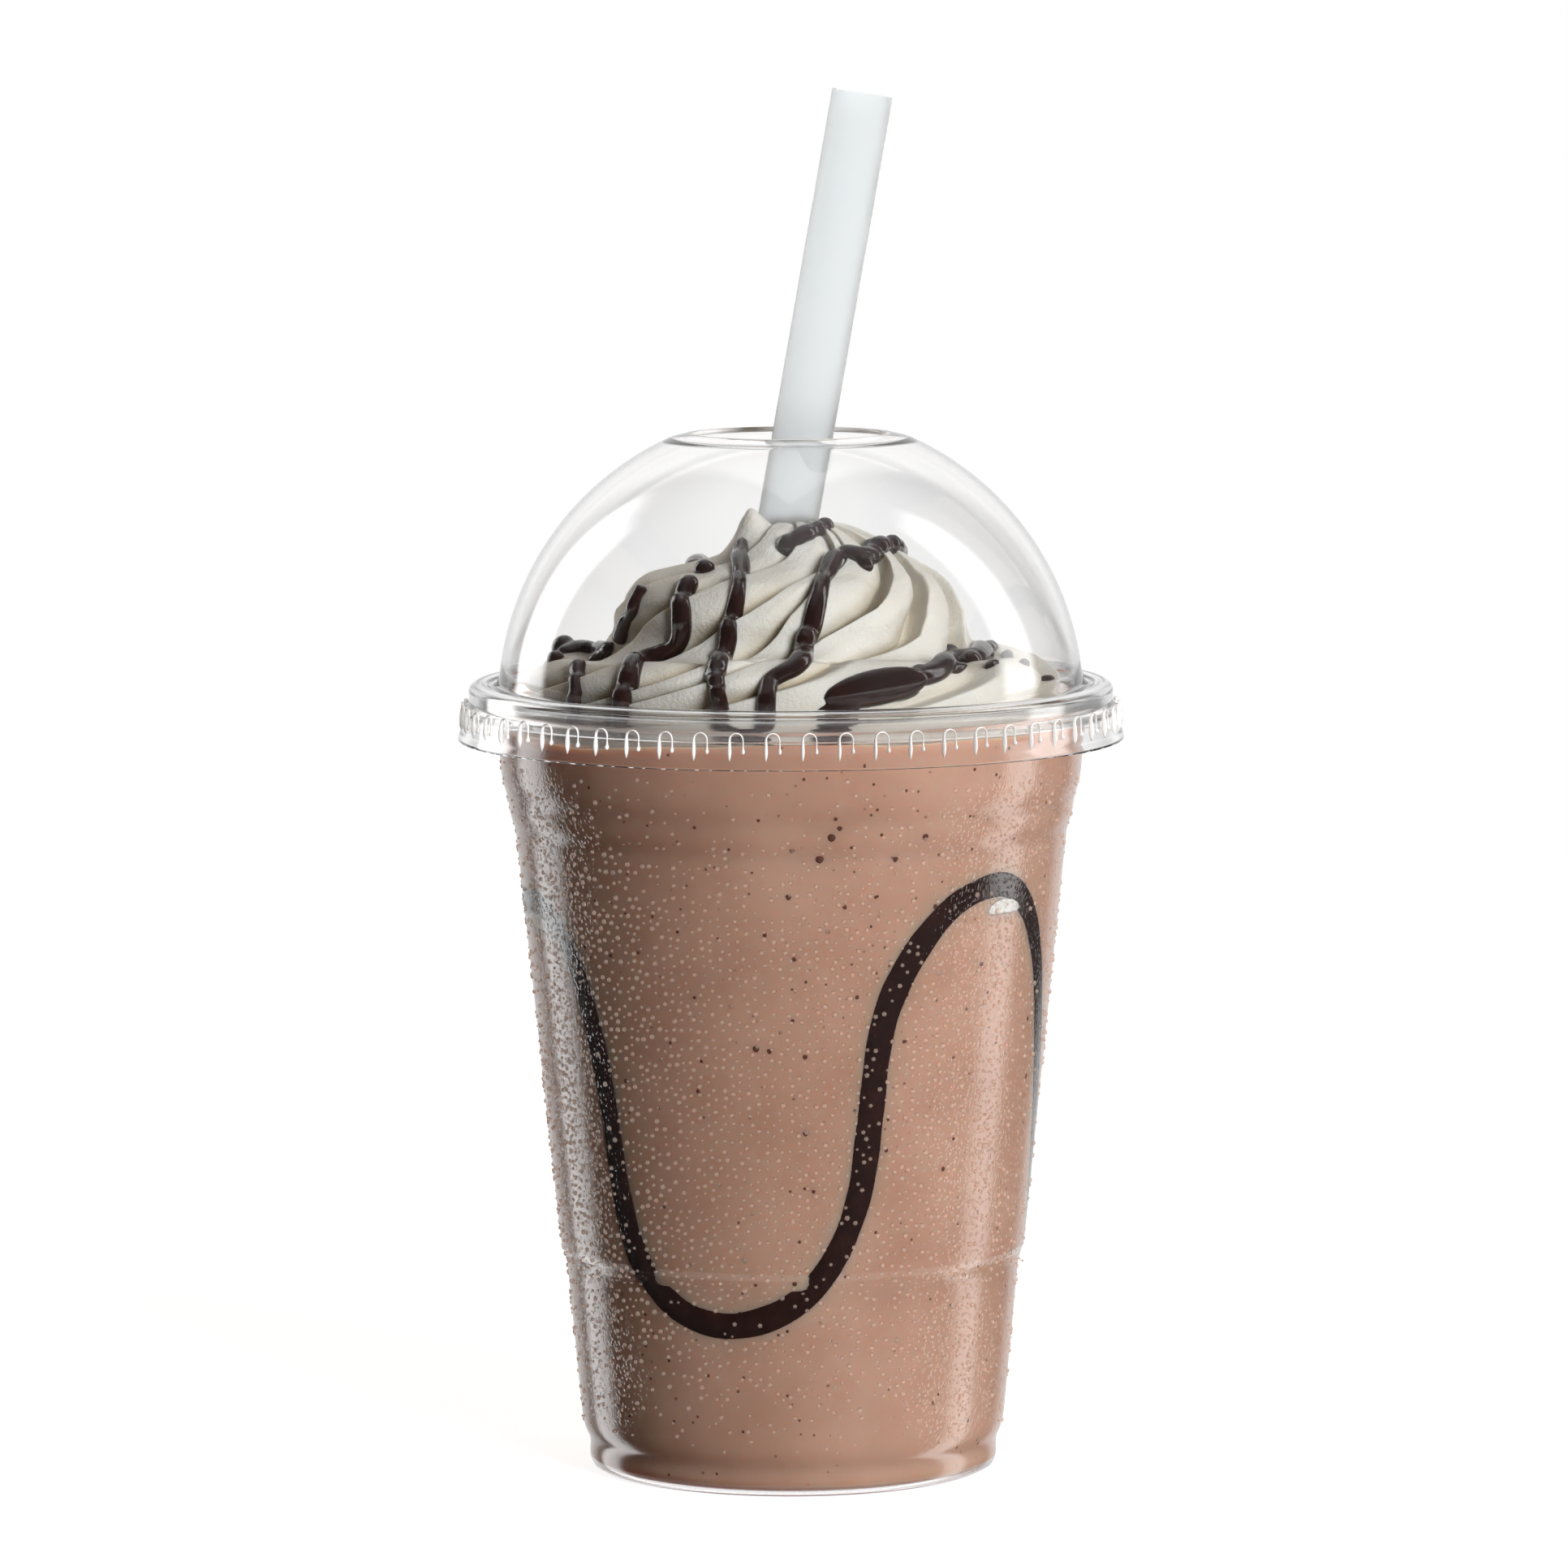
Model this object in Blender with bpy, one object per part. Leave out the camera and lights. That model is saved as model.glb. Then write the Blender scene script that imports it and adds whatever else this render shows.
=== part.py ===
"""Chocolate milkshake in a clear cup with a domed lid, a straw, whipped cream and sauce.

The origin is the middle of the cup's base, +Z is up and the front faces -Y.
"""
import math

import bmesh
import bpy
import numpy as np
from mathutils import Matrix, Vector
from mathutils.bvhtree import BVHTree

MM = 0.001

# Driving sizes
RIM_DIAMETER = 97.6 * MM
BASE_DIAMETER = 63.2 * MM
CUP_HEIGHT = 120.6 * MM
CUP_WALL = 0.55 * MM
LID_WALL = 0.45 * MM
CLEARANCE = 0.3 * MM
FILL_LEVEL = 116.0 * MM
DOME_RADIUS = 45.1 * MM
DOME_CENTRE_HEIGHT = 118.4 * MM
LID_HOLE_DIAMETER = 29.6 * MM
LID_RIBS = 58
CUP_SIDES = 36

# Straw
STRAW_RADIUS = 4.65 * MM
STRAW_WALL = 0.45 * MM
STRAW_TOP = Vector((11.24, 0.0, 212.2)) * MM
STRAW_FOOT = Vector((-25.5, 0.0, 5.1)) * MM
STRAW_SIDES = 20

# Sauce ribbon on the inside of the cup's wall
RIBBON_WIDTH = 4.2 * MM
RIBBON_DEPTH = 1.6 * MM
RIBBON_STEPS = 88
WALL_LEAN = 0.1

# Whipped cream
CREAM_PEAK = Vector((-6.6, -3.2)) * MM
CREAM_PEAK_RISE = 3.4 * MM
CREAM_PEAK_SPREAD = 2.3 * MM
CREAM_SETTLE = 2.4

# The strands of sauce are placed as they are seen from this far above level.
VIEW_PITCH = math.radians(6.0)

# Cup wall outside, from the corner of the base to the neck: radius, height in mm
WALL_OUTSIDE = (
    (31.1, 0.7), (31.6, 1.8), (31.4, 4.4), (32.5, 6.8), (34.97, 32.2), (35.84, 34.7),
    (42.42, 98.9), (43.35, 101.8), (43.66, 104.3), (44.55, 107.1), (45.3, 117.5),
)

# Ribbon's centre line: angle from the front towards +X in degrees, height in mm
RIBBON_LINE = (
    (-80, 88.9), (-66, 88.6), (-58, 84.5), (-53, 78.0), (-49.5, 69.5), (-47, 58.5), (-45.5, 48.5),
    (-43, 39.8), (-37.5, 32.8), (-29, 28.5), (-18, 26.8), (-7, 28.0), (2.5, 31.4),
    (11, 38.4), (16, 47.5), (18, 58.7), (19.5, 70.0), (22.5, 78.0), (29, 85.8),
    (38, 91.6), (50.5, 93.4), (60.5, 89.0), (68, 80.8), (73, 71.6), (79, 58.4),
    (84, 45.0), (91, 34.5), (104, 28.5), (116, 28.0), (128, 32.5), (136, 42.0),
    (140, 55.0), (142, 67.0), (146, 78.0), (154, 87.0), (167, 91.5), (180, 88.0),
    (188, 78.0), (193, 66.0), (197, 53.0), (202, 41.0), (211, 32.0), (224, 28.0),
    (238, 30.5), (248, 38.0), (253, 49.0), (256, 61.0), (259, 73.0), (266, 84.0),
)

# Cream's side from the cup's wall to the middle: radius, height and groove depth in mm, level in
# the table of crests, and how far its middle lies to the right in mm
CREAM_SIDE = (
    (41.0, 116.35, 0.0, -1.0, 0.0), (42.1, 118.8, 1.4, -0.84, 0.0), (42.2, 122.4, 2.4, -0.54, 0.0),
    (40.6, 126.0, 3.0, -0.26, 0.0), (36.4, 128.4, 2.9, -0.10, 0.0), (31.0, 128.2, 2.8, 0.0, 0.0),
    (27.3, 130.2, 3.6, 0.8, 0.0), (26.8, 133.4, 4.1, 1.6, -0.2), (25.2, 136.2, 4.1, 2.3, -0.2),
    (22.6, 138.4, 3.5, 2.8, 0.2), (18.6, 139.9, 2.9, 3.2, 1.8), (14.8, 141.4, 2.6, 3.6, 3.4),
    (11.6, 143.6, 2.0, 4.1, 2.8), (8.0, 145.7, 1.2, 4.7, 1.4),
)
CREAM_TOP = 147.3 * MM

# Crest of each fold of the cream at levels 0 to 5: degrees from the front towards +X
CREAM_CRESTS = (
    (-74, -60, -45, -29, -13, 3), (-41, -27, -12, 3.5, 19, 34), (-12, -5, 2, 10, 26, 45),
    (-2, 8, 31, 46, 56, 66), (16, 46, 54, 66, 78, 92), (60, 78, 87, 98, 112, 126),
    (100, 112, 122, 133, 147, 160), (140, 152, 163, 175, 188, 200), (180, 192, 205, 218, 230, 243),
    (218, 230, 244, 258, 272, 286), (254, 267, 282, 298, 314, 328),
)
CREAM_TWIST = 62.0
FOLD_DEPTHS = (1.15, 1.25, 1.3, 1.2, 0.95, 0.8, 0.9, 0.95, 1.0, 1.0, 1.1)
CREST_SHARE = 0.22
FOLD_SHARES = (0.0, CREST_SHARE, 0.6, 0.86)

# Sauce strands on the cream: side seen from, width, then points across and up in mm
STRANDS = (
    ("front", 2.3, ((-22.1, 135.7), (-23.1, 134.9), (-23.6, 131.6), (-25.1, 128.7), (-26.2, 126.9))),
    ("front", 2.9, ((-14.4, 136.6), (-16.1, 135.2), (-16.2, 130.8), (-16.6, 126.6), (-17.6, 125.2),
                    (-19.4, 125.2), (-21.4, 124.9), (-22.9, 124.8), (-23.7, 122.7), (-24.9, 118.1),
                    (-25.2, 116.4))),
    ("front", 2.6, ((-7.3, 143.2), (-7.7, 140.7), (-7.4, 139.5), (-7.9, 133.7), (-8.8, 130.9),
                    (-9.2, 126.9), (-10.4, 124.4), (-11.3, 121.6), (-10.7, 119.7), (-10.6, 115.0))),
    ("front", 2.8, ((7.1, 140.7), (4.9, 135.8), (3.1, 129.6), (1.5, 123.5), (0.2, 122.2), (-1.6, 122.0),
                    (-2.9, 121.6), (-3.2, 119.7), (-3.3, 115.0))),
    ("front", 2.7, ((-1.2, 141.1), (0.7, 142.1), (2.8, 143.7), (5.3, 144.6))),
    ("front", 2.8, ((7.1, 140.7), (9.2, 140.0), (11.4, 139.4), (12.9, 140.9), (15.3, 142.2),
                    (16.6, 141.6))),
    ("front", 2.3, ((-32.2, 123.9), (-32.1, 118.1), (-32.0, 116.2))),
    ("front", 2.4, ((-27.2, 126.0), (-28.6, 126.0), (-31.4, 126.6), (-33.4, 126.4), (-35.6, 125.6))),
    ("front", 3.2, ((18.0, 121.0), (21.7, 122.0), (24.2, 124.3), (27.3, 124.0), (29.0, 125.2),
                    (31.0, 126.3))),
    ("back", 3.1, ((-15.0, 139.4), (-13.0, 131.0), (-12.0, 126.5), (-11.0, 119.0))),
    ("back", 2.7, ((2.0, 143.6), (4.0, 136.0), (5.5, 127.0), (7.0, 119.0))),
    ("back", 3.0, ((20.0, 136.0), (23.0, 126.5), (25.0, 119.5))),
)

# Pools of sauce: across, up, half width, half height, half depth in mm and tilt in degrees
POOLS = (
    (12.7, 119.6, 8.5, 3.0, 1.7, 10), (24.2, 124.8, 2.0, 2.0, 1.8, 0), (31.0, 126.3, 1.4, 1.4, 1.4, 0),
    (39.4, 120.6, 1.1, 1.1, 1.3, 0), (-13.1, 138.1, 1.7, 1.7, 1.7, 0), (-19.4, 125.5, 1.3, 1.4, 1.4, 0),
    (-10.9, 124.5, 1.4, 1.5, 1.4, 0), (-0.2, 141.6, 2.1, 2.1, 1.8, 0), (5.3, 144.8, 1.5, 1.5, 1.5, 0),
    (12.4, 141.5, 1.5, 1.5, 1.5, 0), (15.6, 142.4, 1.6, 1.6, 1.5, 0), (-35.2, 126.5, 2.2, 2.2, 2.0, 0),
)


def clear_scene():
    """Remove every object of the scene."""
    for item in list(bpy.data.objects):
        bpy.data.objects.remove(item, do_unlink=True)


def make_material(name, colour, roughness, alpha=1.0):
    """Return a Principled material of one colour."""
    material = bpy.data.materials.new(name)
    material.use_nodes = True
    shader = material.node_tree.nodes["Principled BSDF"]
    shader.inputs["Base Color"].default_value = (*colour, 1.0)
    shader.inputs["Roughness"].default_value = roughness
    shader.inputs["Alpha"].default_value = alpha
    return material


def add_object(name, bm, material=None):
    """Turn a bmesh into a smooth object with its faces out."""
    bmesh.ops.recalc_face_normals(bm, faces=bm.faces)
    for face in bm.faces:
        face.smooth = True
    mesh = bpy.data.meshes.new(name)
    bm.to_mesh(mesh)
    bm.free()
    if material:
        mesh.materials.append(material)
    item = bpy.data.objects.new(name, mesh)
    bpy.context.scene.collection.objects.link(item)
    return item


def around(radius, angle, height):
    """Point at an angle counted from the front towards +X."""
    return Vector((radius * math.sin(angle), -radius * math.cos(angle), height))


def bridge(bm, low, high):
    """Join two closed rows of vertices, one of which may have a multiple of the other's."""
    count = max(len(low), len(high))
    low_step, high_step = count // len(low), count // len(high)
    for i in range(count):
        j = (i + 1) % count
        corners = (low[i // low_step], low[(j // low_step) % len(low)],
                   high[(j // high_step) % len(high)], high[i // high_step])
        bm.faces.new(list(dict.fromkeys(corners)))


def row_of(bm, radius, height, sides, ribs=0.0):
    """Row of vertices round the axis, with every second one pushed out by the ribs' height."""
    return [bm.verts.new(around(radius + (ribs if i % 2 else 0.0), math.tau * i / sides, height))
            for i in range(sides)]


def lathe(bm, profile, sides, closed):
    """Turn a profile of radius and height round the axis; open ends stand on the axis."""
    rows = [[bm.verts.new((0, 0, height))] if radius == 0 else row_of(bm, radius, height, sides)
            for radius, height in profile]
    pairs = list(zip(rows, rows[1:]))
    if closed:
        pairs.append((rows[-1], rows[0]))
    for low, high in pairs:
        if len(low) == 1 or len(high) == 1:
            pole, ring = (low[0], high) if len(low) == 1 else (high[0], low)
            for i in range(sides):
                bm.faces.new((pole, ring[i], ring[(i + 1) % sides]))
        else:
            bridge(bm, low, high)


def tube(bm, points, frames, section, closed=False):
    """Sweep a section along points; frames gives the two directions across the path at each."""
    rows = [[bm.verts.new(point + side * a + rise * b) for a, b in section]
            for point, (side, rise) in zip(points, frames)]
    for low, high in zip(rows, rows[1:] + rows[:1] if closed else rows[1:]):
        bridge(bm, low, high)
    if not closed:
        bm.faces.new(rows[0])
        bm.faces.new(rows[-1])


def boolean(item, other, operation):
    """Apply one Boolean to an object, with an object or a collection as the other side."""
    modifier = item.modifiers.new(operation.lower(), "BOOLEAN")
    modifier.operation = operation
    modifier.solver = "MANIFOLD"
    if isinstance(other, bpy.types.Collection):
        modifier.operand_type = "COLLECTION"
        modifier.collection = other
    else:
        modifier.object = other
        other.hide_render = True
        other.display_type = "WIRE"
    graph = bpy.context.evaluated_depsgraph_get()
    mesh = bpy.data.meshes.new_from_object(item.evaluated_get(graph))
    item.modifiers.remove(modifier)
    bm = bmesh.new()
    bm.from_mesh(mesh)
    bmesh.ops.triangulate(bm, faces=bm.faces)
    bm.to_mesh(mesh)
    bm.free()
    item.data = mesh
    mesh.name = item.name
    cutters = list(other.objects) if isinstance(other, bpy.types.Collection) else [other]
    for cutter in cutters:
        bpy.data.objects.remove(cutter, do_unlink=True)


def inner_wall(height):
    """Radius of the cup's inside at a height."""
    heights = [z * MM for _, z in WALL_OUTSIDE]
    radii = [r * MM for r, _ in WALL_OUTSIDE]
    return float(np.interp(height, heights, radii)) - CUP_WALL


def cup_profile():
    """Section of the cup: base with a raised middle, stepped wall and rolled rim."""
    foot = BASE_DIAMETER / 2 - 1.8 * MM
    outside = [(0.0, 2.1 * MM), (27.0 * MM, 2.0 * MM), (28.2 * MM, 0.0), (foot, 0.0)]
    outside += [(r * MM, z * MM) for r, z in WALL_OUTSIDE]
    roll = 1.7 * MM
    middle_r, middle_z = RIM_DIAMETER / 2 - roll - CUP_WALL / 2, CUP_HEIGHT - roll - CUP_WALL / 2
    inside = [(27.3 * MM, 2.1 * MM + CUP_WALL), (0.0, 2.1 * MM + CUP_WALL)]
    wall = [(r * MM - CUP_WALL, z * MM) for r, z in WALL_OUTSIDE[1:]]
    inside = wall[::-1] + [(foot, CUP_WALL), (28.6 * MM, CUP_WALL)] + inside
    inner_roll, outer_roll = [], []
    for angle in (180, 130, 90, 45, 0, -60):
        c, s = math.cos(math.radians(angle)), math.sin(math.radians(angle))
        big, small = roll + CUP_WALL / 2, roll - CUP_WALL / 2
        inner_roll.append((middle_r + small * c, middle_z + small * s))
        outer_roll.append((middle_r + big * c, middle_z + big * s))
    return outside + inner_roll + outer_roll[::-1] + inside


def make_cup(material):
    """Clear cup."""
    bm = bmesh.new()
    lathe(bm, cup_profile(), CUP_SIDES, closed=False)
    return add_object("cup", bm, material)


def dome_arc(radius, start, end, steps):
    """Part of the dome's section between two angles above level, in degrees."""
    points = []
    for i in range(steps):
        angle = math.radians(start + (end - start) * i / (steps - 1))
        points.append((radius * math.cos(angle), DOME_CENTRE_HEIGHT + radius * math.sin(angle)))
    return points


def make_lid(material):
    """Domed lid with a hole on top, a ring over the cup's rim and a ribbed skirt."""
    hole = LID_HOLE_DIAMETER / 2
    top = DOME_CENTRE_HEIGHT + DOME_RADIUS * math.sin(math.radians(66.0))
    shell = [(hole, top - 0.05 * MM), (hole, top + 0.5 * MM)] + dome_arc(DOME_RADIUS, 66.0, 5.0, 7)
    ring = ((45.9, 121.35), (47.8, 122.0), (49.6, 121.2), (49.6, 118.9))
    ribs = ((50.3, 118.2, 0.0), (50.6, 117.5, 0.7), (50.8, 115.1, 0.7), (51.0, 114.4, 0.0))
    hem = ((51.3, 113.2), (50.85, 113.2), (50.45, 116.0), (49.15, 118.7), (49.15, 120.95),
           (47.8, 121.5), (46.1, 120.9))
    under = dome_arc(DOME_RADIUS - LID_WALL, 3.9, 66.0, 7)
    bm = bmesh.new()
    rows = [row_of(bm, r, z, LID_RIBS // 2) for r, z in shell]
    rows += [row_of(bm, r * MM, z * MM, LID_RIBS) for r, z in ring]
    rows += [row_of(bm, r * MM, z * MM, 2 * LID_RIBS, rib * MM) for r, z, rib in ribs]
    rows += [row_of(bm, r * MM, z * MM, LID_RIBS) for r, z in hem]
    rows += [row_of(bm, r, z, LID_RIBS // 2) for r, z in under]
    for low, high in zip(rows, rows[1:] + rows[:1]):
        bridge(bm, low, high)
    return add_object("dome_lid", bm, material)


def straw_solid(name, grow, material=None):
    """Straw, or with grow the solid that leaves room round it."""
    axis = (STRAW_TOP - STRAW_FOOT).normalized()
    side, rise = Vector((0, 1, 0)), Vector((0, 1, 0)).cross(axis)
    radius = STRAW_RADIUS + grow
    circle = [(math.cos(math.tau * i / STRAW_SIDES), math.sin(math.tau * i / STRAW_SIDES))
              for i in range(STRAW_SIDES)]
    foot, top = STRAW_FOOT - axis * grow, STRAW_TOP
    bm = bmesh.new()
    outer = [[bm.verts.new(end + (side * a + rise * b) * radius) for a, b in circle] for end in (foot, top)]
    bridge(bm, *outer)
    if grow:
        bm.faces.new(outer[0])
        bm.faces.new(outer[1])
    else:
        bore = radius - STRAW_WALL
        inner = [[bm.verts.new(end + (side * a + rise * b) * bore) for a, b in circle] for end in (foot, top)]
        bridge(bm, *inner)
        bridge(bm, outer[0], inner[0])
        bridge(bm, outer[1], inner[1])
    return add_object(name, bm, material)


def smooth_loop(points, steps):
    """Evenly spaced points on a closed curve through the given ones."""
    points = np.asarray(points, float)
    before, after, next_after = (np.roll(points, shift, axis=0) for shift in (1, -1, -2))
    fine = []
    for t in np.linspace(0, 1, 12, endpoint=False):
        fine.append(0.5 * (2 * points + (after - before) * t
                           + (2 * before - 5 * points + 4 * after - next_after) * t**2
                           + (3 * points - before - 3 * after + next_after) * t**3))
    fine = np.stack(fine, axis=1).reshape(-1, points.shape[1])
    ends = np.vstack([fine, fine[:1]])
    length = np.concatenate([[0], np.cumsum(np.linalg.norm(np.diff(ends, axis=0), axis=1))])
    wanted = np.linspace(0, length[-1], steps, endpoint=False)
    return np.stack([np.interp(wanted, length, ends[:, k]) for k in range(points.shape[1])], axis=1)


def ribbon_solid(name, section, material=None):
    """Closed wave of sauce on the inside of the wall; a section point is across, out of the wall."""
    line = [around(inner_wall(z * MM), math.radians(angle), z * MM) for angle, z in RIBBON_LINE]
    points = [Vector(point) for point in smooth_loop([tuple(point) for point in line], RIBBON_STEPS)]
    centres, frames = [], []
    for i, point in enumerate(points):
        along = (points[(i + 1) % RIBBON_STEPS] - points[i - 1]).normalized()
        out = Vector((point.x, point.y, 0)).normalized()
        centres.append(out * inner_wall(point.z) + Vector((0, 0, point.z)))
        inward = (Vector((0, 0, WALL_LEAN)) - out).normalized()
        across = along.cross(inward).normalized()
        frames.append((across, inward))
    bm = bmesh.new()
    tube(bm, centres, frames, section, closed=True)
    return add_object(name, bm, material)


def make_ribbon(material):
    """Sauce ribbon, a little clear of the wall's flats."""
    half, skin = RIBBON_WIDTH / 2, 0.5 * MM
    section = [(-half, skin), (half, skin), (half * 0.75, skin + RIBBON_DEPTH * 0.7), (0.0, skin + RIBBON_DEPTH),
               (-half * 0.75, skin + RIBBON_DEPTH * 0.7)]
    return ribbon_solid("sauce_ribbon", section, material)


def make_milkshake(material):
    """Milkshake up to its level, with room for the ribbon and the straw."""
    gap = CLEARANCE + 0.02 * MM
    floor = 2.1 * MM + CUP_WALL + gap
    foot = BASE_DIAMETER / 2 - 1.8 * MM
    profile = [(0.0, floor), (27.4 * MM, floor), (28.9 * MM, CUP_WALL + gap), (foot - 0.2 * MM, CUP_WALL + gap)]
    profile += [(r * MM - CUP_WALL - gap, max(z * MM, 1.8 * MM + gap)) for r, z in WALL_OUTSIDE[1:-1]]
    profile += [(inner_wall(FILL_LEVEL) - gap, FILL_LEVEL), (0.0, FILL_LEVEL)]
    bm = bmesh.new()
    lathe(bm, profile, CUP_SIDES, closed=False)
    milkshake = add_object("milkshake", bm, material)
    half = RIBBON_WIDTH / 2 + CLEARANCE + 0.05 * MM
    depth = 0.5 * MM + RIBBON_DEPTH + CLEARANCE + 0.05 * MM
    groove = ribbon_solid("groove", [(-half, -0.3 * MM), (half, -0.3 * MM), (half * 0.8, depth), (-half * 0.8, depth)])
    boolean(milkshake, groove, "DIFFERENCE")
    boolean(milkshake, straw_solid("room", CLEARANCE + 0.05 * MM), "DIFFERENCE")
    return milkshake


def fold(share):
    """Height of a cream fold from 0 to 1: it rises at once on its left and falls slowly to the next."""
    if share < CREST_SHARE:
        return share / CREST_SHARE
    fall = (share - CREST_SHARE) / (1.0 - CREST_SHARE)
    return 1.0 - 0.3 * fall - 0.7 * fall**3


def cream_row(row):
    """Points of the cream's side at one row, fold by fold."""
    radius, height, groove, level, middle = row
    crests = [float(np.interp(level, range(6), crest)) + min(level, 0.0) * CREAM_TWIST for crest in CREAM_CRESTS]
    crests.append(crests[0] + 360.0)
    steep = min(1.0, max(0.25, radius / 30.0))
    settled = CREAM_SETTLE * float(np.interp(level, (-1.0, -0.5, 0.0, 1.2), (0.0, 1.0, 1.0, 0.0)))
    points = []
    for deep, crest, after in zip(FOLD_DEPTHS, crests, crests[1:]):
        depth = groove * deep * min(1.1, max(0.6, (after - crest) / 24.0))
        for share in FOLD_SHARES:
            angle = math.radians(crest + (after - crest) * share)
            dent = depth * (1.0 - fold(share))
            lowered = dent * (1.0 - 0.6 * steep) + settled * math.sin(angle) ** 2
            point = around((radius - dent * steep) * MM, angle, (height - lowered) * MM)
            point.x += middle * MM
            if height > 138:
                away = ((point.xy - CREAM_PEAK).length / CREAM_PEAK_SPREAD) ** 2
                point.z += CREAM_PEAK_RISE * math.exp(-away)
            points.append(point)
    return points


def make_swirl(material):
    """Cream swirl without its sauce."""
    bm = bmesh.new()
    rows = [[bm.verts.new(point) for point in cream_row(row)] for row in CREAM_SIDE]
    sides = len(rows[0])
    for low, high in zip(rows, rows[1:]):
        bridge(bm, low, high)
    for z, ring in ((CREAM_SIDE[0][1] * MM, rows[0]), (CREAM_TOP, rows[-1])):
        pole = bm.verts.new((0, 0, z))
        for i in range(sides):
            bm.faces.new((pole, ring[i], ring[(i + 1) % sides]))
    return add_object("whipped_cream", bm, material)


def sight(side):
    """Directions of looking and of up in the picture, from the front or the back."""
    way = 1.0 if side == "front" else -1.0
    look = Vector((0, way * math.cos(VIEW_PITCH), -math.sin(VIEW_PITCH)))
    return look, Vector((0, way * math.sin(VIEW_PITCH), math.cos(VIEW_PITCH)))


def seen_point(tree, side, across, up):
    """Where the line of sight meets the cream, or a little above its outline where the line passes over it."""
    look, rise = sight(side)
    for lower in (0.0, 0.5, 1.0, 1.5, 2.0, 2.5, 3.0):
        start = Vector((across * MM, 0, 0)) + rise * ((up - lower) * MM) - look * 0.2
        hit = tree.ray_cast(start, look)[0]
        if hit:
            return hit + rise * (lower * 0.4 * MM)
    return None


def strand_points(tree, side, seen):
    """Points of a strand on the cream, about 5 mm apart."""
    ends = np.asarray(seen, float)
    length = np.concatenate([[0], np.cumsum(np.linalg.norm(np.diff(ends, axis=0), axis=1))])
    steps = max(2, round(length[-1] / 5.2))
    wanted = np.linspace(0, length[-1], steps + 1)
    flat = np.stack([np.interp(wanted, length, ends[:, k]) for k in range(2)], axis=1)
    hits = [hit for hit in (seen_point(tree, side, *pair) for pair in flat) if hit]
    points = hits[:1]
    for hit in hits[1:]:
        last = points[-1]
        pieces = max(1, round((hit - last).length / (5.8 * MM)))
        for k in range(1, pieces):
            level = last.lerp(hit, k / pieces)
            points.append(tree.ray_cast(Vector((level.x, level.y, 0.2)), Vector((0, 0, -1)))[0])
        points.append(hit)
    far = points[:1]
    for point in points[1:-1]:
        if min((point - far[-1]).length, (point - points[-1]).length) > 2.6 * MM:
            far.append(point)
    points = far + points[-1:]
    normals = [tree.find_nearest(point)[1] for point in points]
    path = list(points)
    for _ in range(2):
        path[1:-1] = [(a + 2 * b + c) / 4 for a, b, c in zip(path, path[1:], path[2:])]
        path = [p - n * min(0.0, (p - q).dot(n)) for p, q, n in zip(path, points, normals)]
    return path


def make_strand(tree, side, width, seen):
    """Rounded strand of sauce, partly sunk in the cream."""
    points = strand_points(tree, side, seen)
    radius = width / 2 * MM
    normals = [tree.find_nearest(point)[1] for point in points]
    for _ in range(3):
        normals[1:-1] = [(a + b + c).normalized() for a, b, c in zip(normals, normals[1:], normals[2:])]
    centres, frames = [], []
    for i, (point, normal) in enumerate(zip(points, normals)):
        along = (points[min(i + 1, len(points) - 1)] - points[max(i - 1, 0)]).normalized()
        across = along.cross(normal).normalized()
        centres.append(point - normal * radius * 0.35)
        frames.append((across, across.cross(along).normalized()))
    turns = [math.tau * (i + 0.25) / 5 for i in range(5)]
    section = [(radius * math.cos(turn), radius * math.sin(turn)) for turn in turns]
    bm = bmesh.new()
    tube(bm, centres, frames, section)
    return add_object("strand", bm)


def make_pool(tree, across, up, half_width, half_height, half_depth, tilt):
    """Pool or drop of sauce where the line of sight meets the cream, flat against its side."""
    place = seen_point(tree, "front", across, up)
    out = Vector((place.x, place.y, 0.0)).normalized()
    side = Vector((-out.y, out.x, 0.0))
    lie = Matrix((side, -out, Vector((0, 0, 1)))).transposed().to_4x4()
    size = Matrix.Diagonal((half_width * MM, half_depth * MM, half_height * MM, 1.0))
    bm = bmesh.new()
    bmesh.ops.create_icosphere(bm, subdivisions=2 if half_width > 3 else 1, radius=1.0)
    turn = Matrix.Rotation(math.radians(-tilt), 4, "Y")
    bmesh.ops.transform(bm, matrix=Matrix.Translation(place) @ lie @ turn @ size, verts=bm.verts)
    return add_object("pool", bm)


def keep_outside(item):
    """Fill sealed hollows: only the largest connected surface stays."""
    bm = bmesh.new()
    bm.from_mesh(item.data)
    left, largest = set(bm.verts), []
    while left:
        stack, found = [left.pop()], []
        while stack:
            vert = stack.pop()
            found.append(vert)
            others = [edge.other_vert(vert) for edge in vert.link_edges]
            stack += [other for other in others if other in left]
            left.difference_update(others)
        largest = max(largest, found, key=len)
    kept = set(largest)
    bmesh.ops.delete(bm, geom=[vert for vert in bm.verts if vert not in kept], context="VERTS")
    bm.to_mesh(item.data)
    bm.free()


def make_cream(material):
    """Whipped cream with its sauce fused on and room for the straw."""
    cream = make_swirl(material)
    bm = bmesh.new()
    bm.from_mesh(cream.data)
    bmesh.ops.triangulate(bm, faces=bm.faces)
    tree = BVHTree.FromBMesh(bm)
    bm.free()
    sauce = bpy.data.collections.new("sauce")
    bpy.context.scene.collection.children.link(sauce)
    strands = [make_strand(tree, *strand) for strand in STRANDS]
    pools = [make_pool(tree, *pool) for pool in POOLS]
    for item in strands + pools:
        bpy.context.scene.collection.objects.unlink(item)
        sauce.objects.link(item)
    boolean(cream, sauce, "UNION")
    bpy.data.collections.remove(sauce)
    boolean(cream, straw_solid("room", CLEARANCE + 0.05 * MM), "DIFFERENCE")
    keep_outside(cream)
    return cream


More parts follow.
